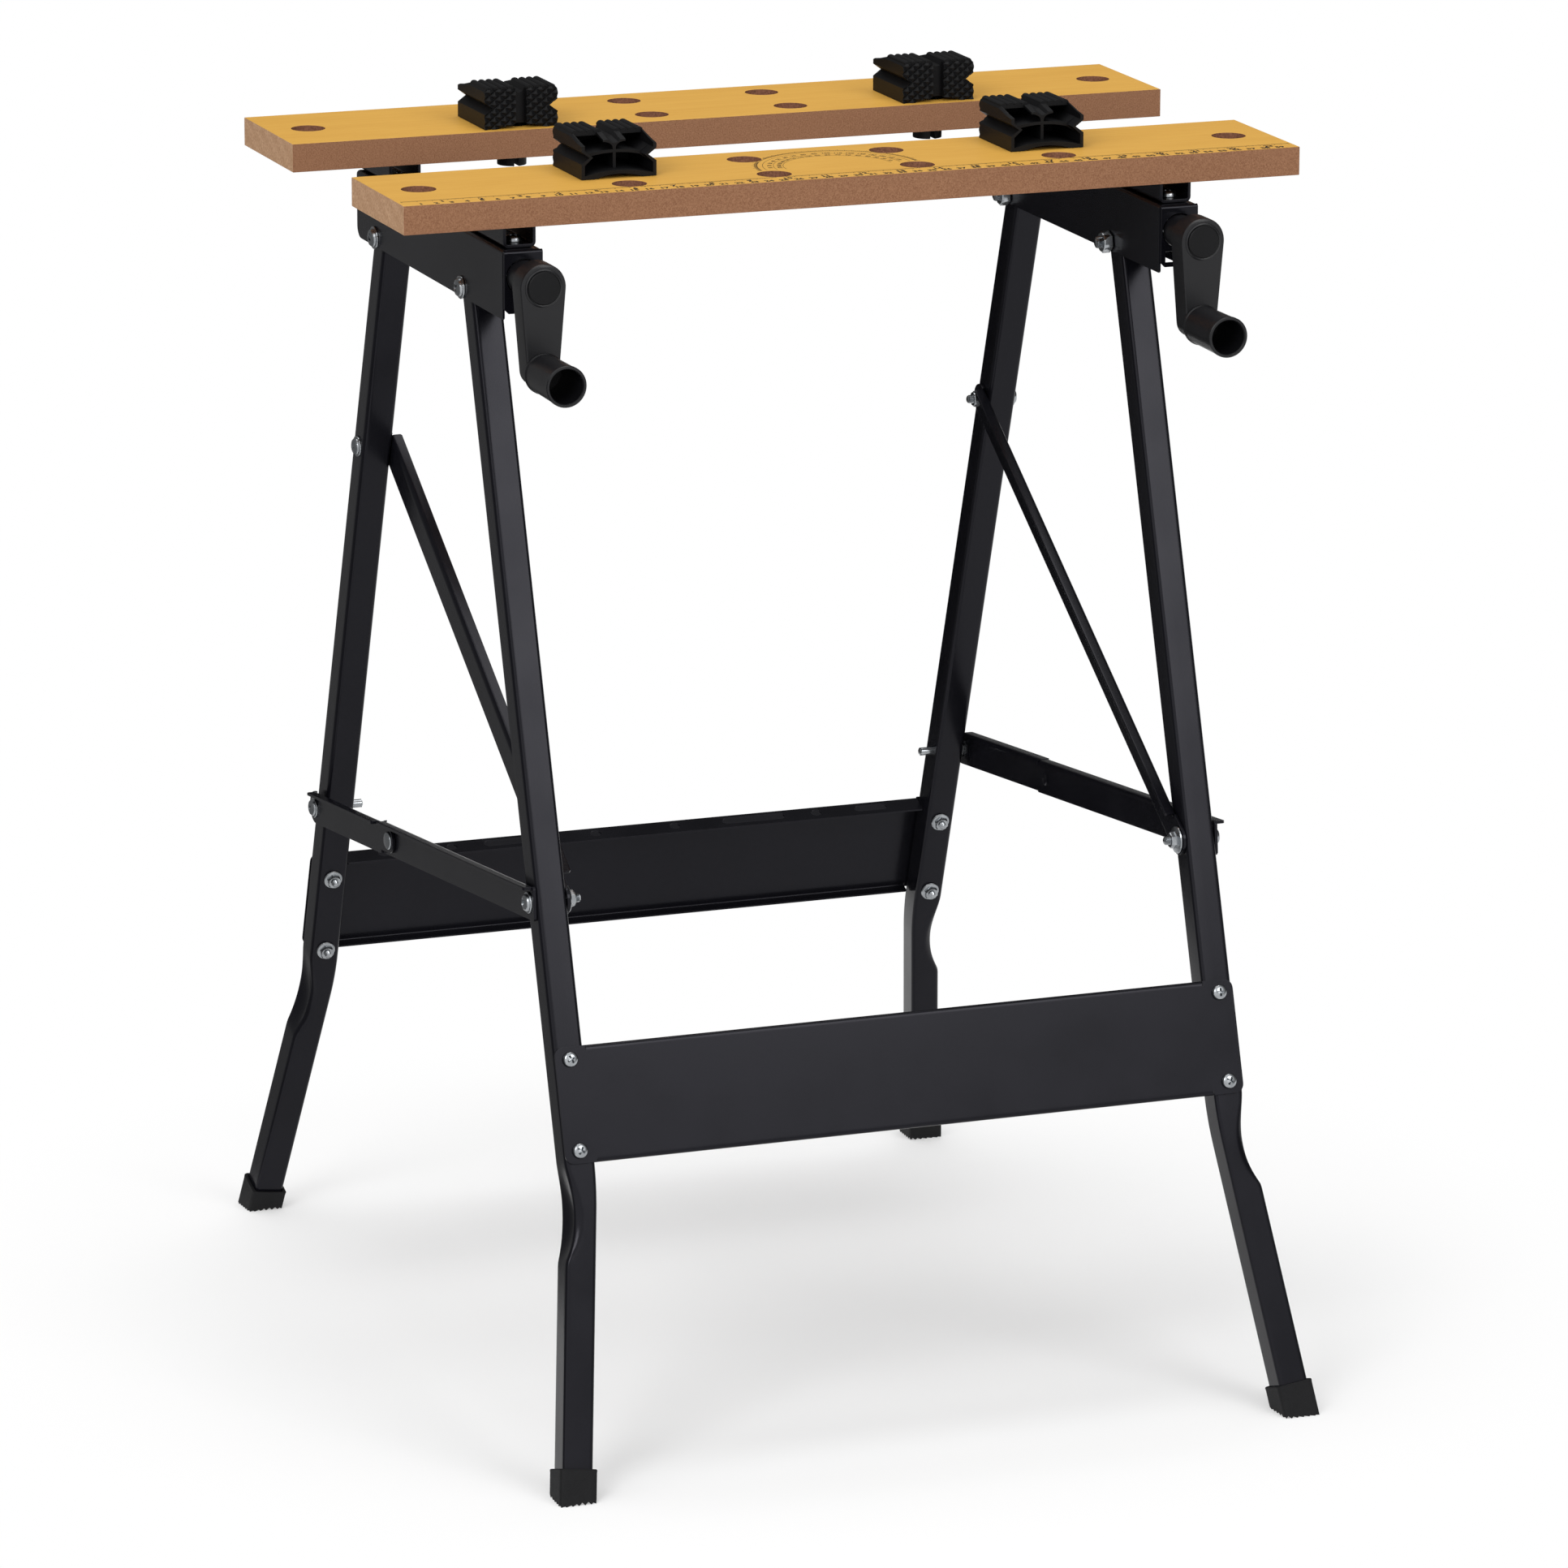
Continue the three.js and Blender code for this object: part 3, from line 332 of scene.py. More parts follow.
# cuts or trims one closed shape with others
def combine(bm, others, operation):
    base = asObject(bm)
    tools = [asObject(other) for other in others]
    for tool in tools:
        step = base.modifiers.new("step", "BOOLEAN")
        step.operation = operation
        step.solver = "EXACT"
        step.use_self = True
        step.object = tool
    result = applied(base)
    for tool in tools:
        bpy.data.objects.remove(tool)
    bmesh.ops.remove_doubles(result, verts=result.verts, dist=1e-3)
    return result


# the separate shells of a mesh, each a list of faces
def shells(bm):
    left = set(bm.faces)
    found = []
    while left:
        shell = [left.pop()]
        for face in shell:
            near = {other for edge in face.edges for other in edge.link_faces} & left
            left -= near
            shell += near
        found.append(shell)
    return found


# turns every shell's faces outwards, by the sign of the space that it encloses
def faceOutwards(bm):
    bmesh.ops.recalc_face_normals(bm, faces=bm.faces)
    for shell in shells(bm):
        origin = shell[0].verts[0].co
        volume = 0
        for face in shell:
            a, *others = [vert.co - origin for vert in face.verts]
            volume += sum(a.dot(b.cross(c)) for b, c in zip(others, others[1:]))
        if volume < 0:
            bmesh.ops.reverse_faces(bm, faces=shell)


# scales the drawing to metres and hands it to its body
def piece(name, bm, body, nodes, materials, crease=32, mirror=False):
    bmesh.ops.dissolve_degenerate(bm, dist=1e-4, edges=bm.edges)
    faceOutwards(bm)
    if mirror:
        bmesh.ops.scale(bm, verts=bm.verts, vec=(-1, 1, 1))
        bmesh.ops.reverse_faces(bm, faces=bm.faces)
    bm.transform(Matrix.Scale(0.001, 4))
    mesh = bpy.data.meshes.new(name)
    bm.to_mesh(mesh)
    bm.free()
    for material in materials:
        mesh.materials.append(material)
    mesh.shade_smooth()
    mesh.set_sharp_from_angle(angle=radians(crease))
    obj = newObject(name, mesh)
    # large flat faces keep their own normal beside the broken edges
    obj.modifiers.new("evenNormals", "WEIGHTED_NORMAL").keep_sharp = True
    graph = bpy.context.evaluated_depsgraph_get()
    obj.data = bpy.data.meshes.new_from_object(
        obj.evaluated_get(graph), preserve_all_data_layers=True, depsgraph=graph)
    obj.data.name = name
    obj.modifiers.clear()
    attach(obj, body)
    if nodes:
        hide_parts(*nodes)


# a piece for each side, drawn on the right and mirrored for the left; a star in a body's name is the side
def pair(name, make, body, node, material):
    for sideName, side in sides.items():
        piece(sideName + name, make(), body.replace("*", sideName), [f"{node}_{sideName}"],
              [material], mirror=side < 0)


# geometry tree with a named input for each size, of the kind that the size's value asks for
def newTree(name, sizes):
    kinds = {int: "Int", float: "Float", tuple: "Vector", bpy.types.Object: "Object"}
    tree = bpy.data.node_groups.new(name, "GeometryNodeTree")
    for way in ("INPUT", "OUTPUT"):
        tree.interface.new_socket("Geometry", in_out=way, socket_type="NodeSocketGeometry")
    settings = {}
    for label, size in sizes.items():
        kind = "NodeSocket" + kinds[type(size)]
        settings[tree.interface.new_socket(label, in_out="INPUT", socket_type=kind).identifier] = size
    return tree, addNode(tree, "NodeGroupInput", out="all"), settings


# closes a tree, runs it on a mesh and gives back the plain result
def grow(tree, geometry, material, settings, mesh=None):
    real = addNode(tree, "GeometryNodeRealizeInstances", {0: geometry})
    finished = addNode(tree, "GeometryNodeSetMaterial", {"Geometry": real, "Material": material})
    addNode(tree, "NodeGroupOutput", {0: finished}, "all")
    holder = newObject("grown", mesh or bpy.data.meshes.new("grown"))
    modifier = holder.modifiers.new("grown", "NODES")
    modifier.node_group = tree
    for identifier, size in settings.items():
        modifier[identifier] = size
    holder.update_tag()
    bm = applied(holder)
    for face in bm.faces:
        face.material_index = 0
    return bm


# shared places

bench = {
    "railX": 222.2, "railTop": 766, "railFront": -170, "railRear": 125, "pivotY": 87.5, "pivotZ": 728,
    "lean": 18.25, "spindleZ": 749, "frontBoardY": -124.5, "rearBoardY": 101.5, "screw": -26, "top": 800,
    "clear": 0.25, "strut": 157, "braceFront": 391, "braceRear": 439, "rearLink": 160}
lean = radians(bench["lean"])
frontPivot = Vector((0, -bench["pivotY"], bench["pivotZ"]))
rearPivot = Vector((0, bench["pivotY"], bench["pivotZ"]))
frontLegPlace = Matrix.Translation(frontPivot) @ Matrix.Rotation(-lean, 4, "X")
rearLegPlace = Matrix.Translation(rearPivot) @ Matrix.Rotation(lean, 4, "X")
strutPivot = rearLegPlace @ Vector((0, 0, -bench["strut"]))
frontBracePivot = frontLegPlace @ Vector((0, 0, -bench["braceFront"]))
rearBracePivot = rearLegPlace @ Vector((0, 0, -bench["braceRear"]))
braceSpan = (rearBracePivot - frontBracePivot).length
frontLinkLength = braceSpan - bench["rearLink"]
midBracePivot = frontBracePivot.lerp(rearBracePivot, frontLinkLength / braceSpan)
legRows = (("front", frontLegPlace, -1), ("rear", rearLegPlace, 1))


# jaw boards

board = {
    "length": 605, "width": 104, "thickness": 18.5, "hole": 11, "endInset": 27, "sideX": 145.5,
    "centreX": 48.5, "row": 27, "edge": 0.4}


def boardHoles():
    places = []
    for side in (-1, 1):
        places.append((side * (board["length"] / 2 - board["endInset"]), 0))
        for row in (-1, 1):
            places.append((side * board["sideX"], row * board["row"]))
            places.append((side * board["centreX"], row * board["row"]))
    return places


def jawBoard(name, y, body, node):
    x, half = board["length"] / 2, board["width"] / 2
    rim = [(-x, -half), (x, -half), (x, half), (-x, half)]
    holes = [circle(hx, hy, board["hole"], 48) for hx, hy in boardHoles()]
    bm = plate([rim] + holes, board["thickness"], board["edge"])
    bm.normal_update()
    for face in bm.faces:
        centre = face.calc_center_median()
        inHole = any(hypot(centre.x - hx, centre.y - hy) < board["hole"] + 0.5 for hx, hy in boardHoles())
        # the top takes the film; hole walls take the MDF darkened as painted shade, the ends the MDF
        # lightened as painted light, the long edges the plain MDF
        if face.normal.z > 0.9:
            face.material_index = 0
        elif inHole and abs(face.normal.z) < 0.9:
            face.material_index = 3
        else:
            face.material_index = 2 if abs(face.normal.x) > 0.8 else 1
    moved(bm, 0, y, bench["top"] - board["thickness"])
    piece(name, bm, body, [node], [film, rawMdf, sawnMdfPaintedLight, drilledMdfPaintedShade])


jawBoard("frontBoard", bench["frontBoardY"], "top", "front_jaw_board")
jawBoard("rearBoard", bench["rearBoardY"], "rear_jaw", "rear_jaw_board")
print("jaw boards done")


# printed scale and protractor on the front board

printed = {
    "inkDepth": 0.04, "lift": 0.01, "start": 2.5, "tickBase": 14.2, "short": 1.9, "half": 2.6, "long": 3.4,
    "tickWidth": 0.42, "bold": 0.06, "cmHeight": 4.4, "cmFoot": 1.4, "inchHeight": 4.6, "inchFoot": 6.2,
    "radius": 52, "centreY": -139, "rings": ((0, 0.4), (3.6, 0.24), (10.4, 0.24), (16.6, 0.24)),
    "dialTick": 0.3, "dialHeight": 2.8, "dialBold": 0.02, "outerNumbers": 9.2, "innerNumbers": 15.4}


# row of tick marks: every tenth long, every fifth middling
def tickRow(count, width, bent):
    tree, given, settings = newTree("tick row", {
        "Count": count, "Pitch": 1.0, "Radius": float(printed["radius"]), "Short": printed["short"],
        "Half": printed["half"], "Long": printed["long"], "Width": width, "Depth": printed["inkDepth"]})
    points = addNode(tree, "GeometryNodeMeshLine", {"Count": given["Count"], "Offset": (0, 0, 0)})
    index = addNode(tree, "GeometryNodeInputIndex")
    step = addNode(tree, "ShaderNodeMath", {0: index, 1: given["Pitch"]}, operation="MULTIPLY")
    spot = addNode(tree, "ShaderNodeCombineXYZ", {0: step})
    turn = (0, 0, 0)
    if bent:
        swing = addNode(tree, "ShaderNodeMath", {0: step}, operation="RADIANS")
        arm = addNode(tree, "ShaderNodeCombineXYZ", {0: given["Radius"]})
        spot = addNode(tree, "ShaderNodeVectorRotate", {
            "Vector": arm, "Angle": swing}, rotation_type="Z_AXIS")
        lay = addNode(tree, "ShaderNodeMath", {0: swing, 1: pi / 2}, operation="ADD")
        turn = addNode(tree, "ShaderNodeCombineXYZ", {2: lay})
    laid = addNode(tree, "GeometryNodeSetPosition", {"Geometry": points, "Position": spot})
    length = given["Short"]
    for every, longer in ((5, "Half"), (10, "Long")):
        over = addNode(tree, "ShaderNodeMath", {0: index, 1: every}, operation="MODULO")
        meets = addNode(tree, "FunctionNodeCompare", {0: over, 1: 0.5}, operation="LESS_THAN")
        length = addNode(tree, "GeometryNodeSwitch", {
            0: meets, 1: length, 2: given[longer]}, input_type="FLOAT")
    size = addNode(tree, "ShaderNodeCombineXYZ", {0: given["Width"], 1: length, 2: given["Depth"]})
    bar = addNode(tree, "GeometryNodeMeshCube", {"Size": (1, 1, 1)})
    hung = addNode(tree, "GeometryNodeTransform", {"Geometry": bar, "Translation": (0, -0.5, 0.5)})
    marks = addNode(tree, "GeometryNodeInstanceOnPoints", {
        "Points": laid, "Instance": hung, "Rotation": turn, "Scale": size})
    return grow(tree, marks, ink, settings)


# one number as a thin mesh, centred on its place
def number(text, height, x, y, turn=0, bold=printed["bold"]):
    curve = bpy.data.curves.new("number", "FONT")
    curve.body = str(text)
    curve.size = height * 1.38        # the font's figures are shorter than its size
    curve.align_x = "CENTER"
    curve.align_y = "BOTTOM_BASELINE"
    curve.resolution_u = 2
    curve.extrude = printed["inkDepth"] / 2
    curve.offset = bold * height
    bm = applied(newObject("number", curve))
    bm.transform(Matrix.Translation((x, y, printed["inkDepth"] / 2)) @ Matrix.Rotation(turn, 4, "Z"))
    return bm


def clearOfHoles(x, y, margin):
    boardY = y - bench["frontBoardY"]
    return all(hypot(x - hx, boardY - hy) > board["hole"] + margin for hx, hy in boardHoles())


# half circle round the protractor's centre, broken where it meets a hole
def arcLine(radius, width):
    runs = [[]]
    for degree in range(181):
        swing = radians(degree)
        if clearOfHoles(radius * cos(swing), printed["centreY"] + radius * sin(swing), 0.4):
            runs[-1].append(degree)
        elif runs[-1]:
            runs.append([])
    lines = []
    for run in runs:
        if len(run) > 1:
            first, last, count = run[0], run[-1], max(2, len(run) // 2)
            outer = arc(0, 0, radius + width / 2, first, last, count)
            inner = arc(0, 0, radius - width / 2, last, first, count)
            lines.append(plate([outer + inner], printed["inkDepth"], 0.005))
    return joined(*lines)


def printedScale():
    left = printed["start"] - board["length"] / 2
    front = bench["frontBoardY"] - board["width"] / 2
    marks = [moved(tickRow(601, printed["tickWidth"], False), left, front + printed["tickBase"], 0)]
    for unit, pitch, last in (("cm", 10, 60), ("inch", 25.4, 24)):
        for count in range(1, last):
            marks.append(number(
                count, printed[unit + "Height"], left + pitch * count, front + printed[unit + "Foot"]))
    radius = printed["radius"]
    dial = [tickRow(181, printed["dialTick"], True)]
    dial += [arcLine(radius - inset, width) for inset, width in printed["rings"]]
    for degree in range(10, 180, 10):
        swing = radians(degree)
        for inset, value in ((printed["outerNumbers"], 180 - degree), (printed["innerNumbers"], degree)):
            x, y = (radius - inset) * cos(swing), (radius - inset) * sin(swing)
            dial.append(number(value, printed["dialHeight"], x, y, swing - pi / 2, printed["dialBold"]))
    bm = joined(moved(joined(*dial), 0, printed["centreY"], 0), *marks)
    for mark in shells(bm):
        if not all(clearOfHoles(*face.calc_center_median().xy, 0.15) for face in mark):
            bmesh.ops.delete(bm, geom=mark, context="FACES")
    moved(bm, 0, 0, bench["top"] + printed["lift"])
    piece("printedScale", bm, "top", [], [ink])


printedScale()
print("printed scale done")


# bench dogs: gripping face towards -Y, hollow back with curved cross ribs, split peg below

dog = {
    "half": 25, "top": 25.9, "back": 35, "face": -18.5, "knurlTip": -20, "notchDepth": 5.4,
    "notchMid": 13.75, "notchHalf": 4, "wall": 2.2, "rib": 1, "archHalf": 16, "arch": 2.6, "bow": 1.9,
    "recess": 3.75, "recessBack": -14.5, "faceBack": -12.3, "flat": 13, "ribBack": 26, "ribTop": 22.9,
    "rim": 21.4, "flare": 6.5, "hinge": 18, "columns": 9, "rows": 7, "diamondX": 7.1, "diamondZ": 5.5,
    "diamondMid": 13.4, "ridges": 4, "ridgePitch": 5, "ridgeFirst": 6.4, "ridgeHalf": 2.45, "ridgeHigh": 1.8,
    "ridgeTop": 27.5, "peg": 9.9, "pegLow": -27, "slit": 1.5, "overlap": 0.05}
sixths = [i / 6 for i in range(7)]


# right half of the outer boundary, from the middle of the arched bottom to the shoulder of the top
def dogFlank():
    half, top, mid, gap = dog["half"], dog["top"], dog["notchMid"], dog["notchHalf"]
    arch = [(dog["archHalf"] * t, dog["arch"] * (1 - t ** 2)) for t in sixths]
    return arch + [(half, 0), (half, mid - gap), (half - dog["notchDepth"], mid), (half, mid + gap),
                   (half, top - 1.4), (half - 1.4, top)]


def dogGroove():
    return [(4, dog["top"]), (2.6, dog["top"] - 2.6), (0, dog["top"] - 3.6)]


# hollows of the back, below and above the cross rib, and the boundaries behind the flat top
def dogInside():
    inner, wall, rib, flare = dog["half"] - dog["wall"], dog["wall"], dog["rib"], dog["flare"]
    waist, top, ceiling = inner - dog["notchDepth"] - 0.6, dog["top"], dog["top"] - 2
    mid, gap = dog["notchMid"], dog["notchHalf"] + 0.9
    bow = [(rib + (waist - rib) * t, dog["bow"] * (1 - t ** 2)) for t in sixths]
    floor = [(inner * (1 - t), wall + (dog["arch"] + 0.2) * (1 - (1 - t) ** 2)) for t in sixths]
    curve = [(2 * (rib + flare) - x, y) for x, y in arc(rib + flare, ceiling - flare, flare, 90, 0, 6)]
    ledge = [(x, mid + rib + rise) for x, rise in bow]
    lower = floor[:-1] + [(rib, floor[-1][1]), (rib, mid - rib + dog["bow"])]
    lower += [(x, mid - rib + rise) for x, rise in bow[1:]] + [(inner, mid - gap)]
    upper = ledge + [(inner, mid + gap), (inner, ceiling)] + curve
    shoulder = dogFlank() + [(inner, top), (inner, mid + gap)]
    crossed = shoulder + ledge[::-1] + curve[::-1] + [(rib + flare, top)] + dogGroove()
    bare = shoulder + [(waist + 0.5, mid), (inner, mid - gap)] + floor
    return lower, upper, mirrored(crossed), mirrored(bare)


# rows of diamond pyramids, every other row set over by half a diamond
def diamondField():
    halfX, halfZ = dog["diamondX"] / 2, dog["diamondZ"] / 2
    tree, given, settings = newTree("diamond field", {
        "Columns": dog["columns"], "Rows": dog["rows"], "Width": dog["diamondX"] * (dog["columns"] - 1),
        "Depth": dog["diamondZ"] * (dog["rows"] - 1), "Shift": (halfX, halfZ, 0.0),
        "Size": (halfX, halfZ, dog["face"] - dog["knurlTip"])})
    grid = addNode(tree, "GeometryNodeMeshGrid", {
        0: given["Width"], 1: given["Depth"], 2: given["Columns"], 3: given["Rows"]})
    second = addNode(tree, "GeometryNodeTransform", {"Geometry": grid, "Translation": given["Shift"]})
    points = addNode(tree, "GeometryNodeJoinGeometry", {0: grid})
    tree.links.new(second, points.node.inputs[0])
    pyramid = addNode(tree, "GeometryNodeMeshCone", {
        "Vertices": 4, "Radius Top": 0.22, "Radius Bottom": 0.985, "Depth": 1.0})
    teeth = addNode(tree, "GeometryNodeInstanceOnPoints", {
        "Points": points, "Instance": pyramid, "Scale": given["Size"]})
    return grow(tree, teeth, gripPlastic, settings)


# row of rounded ridges across the top
def ridgeRow(length):
    tree, given, settings = newTree("ridge row", {
        "Count": dog["ridges"], "Step": (float(dog["ridgePitch"]), 0.0, 0.0),
        "Size": (dog["ridgeHalf"], length, dog["ridgeHigh"])})
    line = addNode(tree, "GeometryNodeMeshLine", {"Count": given["Count"], "Offset": given["Step"]})
    rod = addNode(tree, "GeometryNodeMeshCylinder", {
        "Vertices": 12, "Radius": 1.0, "Depth": 1.0}, fill_type="NGON")
    laid = addNode(tree, "GeometryNodeTransform", {"Geometry": rod, "Rotation": (pi / 2, 0, 0)})
    ridges = addNode(tree, "GeometryNodeInstanceOnPoints", {
        "Points": line, "Instance": laid, "Scale": given["Size"]})
    return grow(tree, ridges, gripPlastic, settings)


# turns a plate drawn in (x, z) so that its thickness runs along Y
def standing(bm, y):
    bm.transform(Matrix(((1, 0, 0, 0), (0, 0, 1, y), (0, 1, 0, 0), (0, 0, 0, 1))))
    bmesh.ops.recalc_face_normals(bm, faces=bm.faces)
    return bm


# slice of the dog from one depth to another; above the notch its height may change along the depth
def dogSlice(loops, front, back, highFront=None, highBack=None, edge=0.03):
    bm = standing(plate(loops, back - front, edge), front)
    if highFront:
        hinge = dog["hinge"]
        for vert in bm.verts:
            if vert.co.z > hinge:
                high = highFront + (highBack - highFront) * (vert.co.y - front) / (back - front)
                vert.co.z = hinge + (vert.co.z - hinge) * (high - hinge) / (dog["top"] - hinge)
    return bm


def bothSides(path):
    return [[(flip * x, y) for x, y in path] for flip in (1, -1)]


def splitPeg():
    radius, slit, low = dog["peg"], dog["slit"], dog["pegLow"]
    rim = arc(0, 0, radius, -81, 81, 16) + [(slit, radius - 0.3), (slit, 0.3 - radius)]
    halves = [moved(plate([path], 3 - low, 0.35), 0, 0, low) for path in bothSides(rim)]
    for half in halves:
        for vert in half.verts:
            if vert.co.z < low + 1.5:        # slight taper at the tip
                vert.co.x *= 0.97
                vert.co.y *= 0.97
    return halves


def benchDog():
    top, gap, face, flat, over = dog["top"], dog["recess"], dog["face"], dog["flat"], dog["overlap"]
    outline = mirrored(dogFlank() + dogGroove())
    lower, upper, crossed, bare = dogInside()
    flank = [spot for spot in dogFlank() if spot[0] > gap]
    pads = bothSides([(gap, dog["arch"])] + flank + [(4, top), (gap, top - 0.6)])
    body = [dogSlice([path], face, dog["recessBack"] + over) for path in pads]
    body.append(dogSlice([outline], dog["recessBack"], dog["faceBack"] + over))
    body.append(dogSlice([outline] + bothSides(lower) + bothSides(upper), dog["faceBack"], flat))
    body.append(dogSlice([crossed] + bothSides(lower), flat - over, dog["ribBack"], top, dog["ribTop"]))
    body.append(dogSlice([bare], dog["ribBack"] - over, dog["back"], dog["ribTop"], dog["rim"]))
    teeth = diamondField()
    bmesh.ops.recalc_face_normals(teeth, faces=teeth.faces)
    teeth.transform(Matrix.Translation((0, face + over, dog["diamondMid"])) @ Matrix.Rotation(pi / 2, 4, "X"))
    limits = [dogSlice([path], dog["knurlTip"] - 3, face + 3, edge=0.02) for path in pads]
    teeth = combine(teeth, [joined(*limits)], "INTERSECT")
    ridges = []
    for flip in (1, -1):
        row = moved(ridgeRow(flat - face - 0.4), dog["ridgeFirst"], (flat + face) / 2,
                    dog["ridgeTop"] - dog["ridgeHigh"])
        row.transform(Matrix.Diagonal((flip, 1, 1, 1)))
        ridges.append(row)
    return joined(*body, teeth, *ridges, *splitPeg())


dogShape = benchDog()
dogZ = bench["top"] + bench["clear"]
for sideName, side in sides.items():
    for row, inward, turn in (("front", 1, pi), ("rear", -1, 0)):
        bm = dogShape.copy()
        bm.transform(Matrix.Rotation(turn, 4, "Z"))
        moved(bm, side * board["sideX"], bench[row + "BoardY"] + inward * board["row"], dogZ)
        place = row + "_" + sideName
        piece(sideName + row.capitalize() + "Dog", bm, "dog_" + place, ["bench_dog_" + place],
              [gripPlastic])
dogShape.free()
print("bench dogs done")


# top rails: pressed channel with a flap folded down over the front end

rail = {
    "width": 26, "sheet": 1.5, "bend": 1.0, "height": 44, "flapBend": 0.6, "flapHalf": 12.8, "flapLow": 726,
    "screwHole": 3.25, "slotHalf": 3.3, "slotFront": -44.5, "slotRear": 75.5, "pivotHole": 4.25,
    "bossHole": 11.5, "windowZ": 736, "windowLeft": -9.4, "windowRight": -1.4, "windowHigh": 7,
    "tailRound": 8}


# place on the flat blank of a height on the flap
def onFlap(z):
    return -unrolled(-bench["railFront"], bench["railTop"] - z, rail["flapBend"], rail["sheet"])


def topRail():
    half, sheet, bend, edge = rail["width"] / 2, rail["sheet"], rail["bend"], rail["flapHalf"]
    flapStart, flapEnd = bench["railFront"] + rail["flapBend"] + sheet, onFlap(rail["flapLow"])
    deep, curl = unrolled(half, rail["height"], bend, sheet), rail["tailRound"]
    notch = half - bend - sheet - 0.3
    right = [(edge - 3, flapEnd), (edge, flapEnd + 3), (edge, flapStart - 0.2), (notch, flapStart - 0.2),
             (notch, flapStart + 0.5), (deep - 1, flapStart + 0.5), (deep, flapStart + 1.5)]
    right += arc(deep - curl, bench["railRear"] - curl, curl, 0, 90, 8)
    long = arc(0, rail["slotFront"], rail["slotHalf"], 180, 360, 8)
    long += arc(0, rail["slotRear"], rail["slotHalf"], 0, 180, 8)
    holes = [circle(0, bench["frontBoardY"] + bench["screw"], rail["screwHole"]), long]
    pivotDepth = unrolled(half, bench["railTop"] - bench["pivotZ"], bend, sheet)
    for y in (-bench["pivotY"], bench["pivotY"]):
        for side in (-1, 1):
            holes.append(circle(side * pivotDepth, y, rail["pivotHole"]))
    holes.append(circle(0, onFlap(bench["spindleZ"]), rail["bossHole"], 36))
    x0, x1, y1 = rail["windowLeft"], rail["windowRight"], onFlap(rail["windowZ"])
    y0 = y1 - rail["windowHigh"]
    holes.append([(x0, y0), (x1, y0), (x1, y1), (x0, y1)])
    bm = plate([mirrored(right)] + holes, sheet)
    for side in (-1, 1):
        fold(bm, 0, half, side, -1, bend, sheet, between=(flapStart + 0.3, 1e4))
    fold(bm, 1, -bench["railFront"], -1, -1, rail["flapBend"], sheet)
    return moved(bm, bench["railX"], 0, bench["railTop"] - sheet)


pair("Rail", topRail, "top", "top_rail", paint)
print("top rails done")


# jaw carriages: short open channels under the boards

carriage = {"width": 21.5, "height": 15, "sheet": 2, "bend": 1.2, "low": 766.25, "length": 76, "hole": 3.25}


def jawCarriage(centreY):
    half, sheet, bend = carriage["width"] / 2, carriage["sheet"], carriage["bend"]
    deep = unrolled(half, carriage["height"], bend, sheet)
    y0, y1 = centreY - carriage["length"] / 2, centreY + carriage["length"] / 2
    rim = [(-deep, y0), (deep, y0), (deep, y1), (-deep, y1)]
    bm = plate([rim, circle(0, centreY + bench["screw"], carriage["hole"])], sheet, 0.3)
    for side in (-1, 1):
        fold(bm, 0, half, side, 1, bend, sheet)
    return moved(bm, bench["railX"], 0, carriage["low"])


for row, body in (("front", "top"), ("rear", "rear_jaw")):
    pair(row.capitalize() + "Carriage", lambda: jawCarriage(bench[row + "BoardY"]), body,
         "jaw_carriage_" + row, paint)
print("jaw carriages done")


# cranks with their caps, and the threaded spindles

crank = {
    "armBack": -190, "armFront": -208, "hub": 15, "end": 10.5, "throw": 54, "boss": 11, "bossRear": -168.5,
    "bossBore": 5.3, "handle": 13.2, "handleBore": 11, "handleFront": -250.5, "cap": 10.6, "edge": 1.5}


# part of the crank turned about an axis towards the front, its heights counted from a depth
def turnedPart(y, z, profile, steps=48):
    place = Matrix.Translation((bench["railX"], y, z))
    return lathe(profile, steps, place @ Matrix.Rotation(pi / 2, 4, "X"))


def crankArm():
    x, top, low = bench["railX"], bench["spindleZ"], bench["spindleZ"] - crank["throw"]
    back, front = crank["armBack"], crank["armFront"]
    tilt = degrees(asin((crank["hub"] - crank["end"]) / crank["throw"]))
    rim = arc(x, top, crank["hub"], -tilt, 180 + tilt, 24)
    rim += arc(x, low, crank["end"], 180 + tilt, 360 - tilt, 20)
    arm = standing(plate([rim], back - front, crank["edge"]), front)
    r, b, deep = crank["boss"], crank["bossBore"], back - crank["bossRear"]
    boss = turnedPart(back, top, [
        (0, 1), (r + 1.2, 1), (r + 1.2, -0.4), (r, -2), (r - 0.2, deep + 0.6), (r - 0.8, deep), (b, deep),
        (b, -2), (0, -2)], 40)
    h, b, end = crank["handle"], crank["handleBore"], front - crank["handleFront"]
    grip = turnedPart(front, low, [
        (0, -1), (h - 1, -1), (h - 1, -0.2), (h - 0.1, 0.2), (h - 0.1, 1.3), (h - 0.7, 2.2),
        (h - 0.3, end - 5), (h, end - 3), (h, end - 0.7), (h - 0.5, end - 0.1), (h - 1.1, end),
        (b + 0.5, end - 0.1), (b, end - 0.8), (b - 0.3, 1), (0, 1)])
    c = crank["cap"]
    ring = turnedPart(front, top, [        # shallow raised ring round the cap
        (c + 0.2, -0.6), (c + 0.2, 0.55), (c + 0.7, 0.8), (c + 1.5, 0.4), (c + 1.9, -0.6), (c + 0.2, -0.6)])
    bmesh.ops.remove_doubles(ring, verts=ring.verts, dist=1e-4)
    return joined(arm, boss, grip, ring)


def crankCap():
    c = crank["cap"]
    return turnedPart(crank["armFront"], bench["spindleZ"], [
        (0, 0.25), (c - 0.15, 0.25), (c - 0.15, 0.9), (c - 0.7, 1.35), (c * 0.6, 1.42), (0, 1.44)])


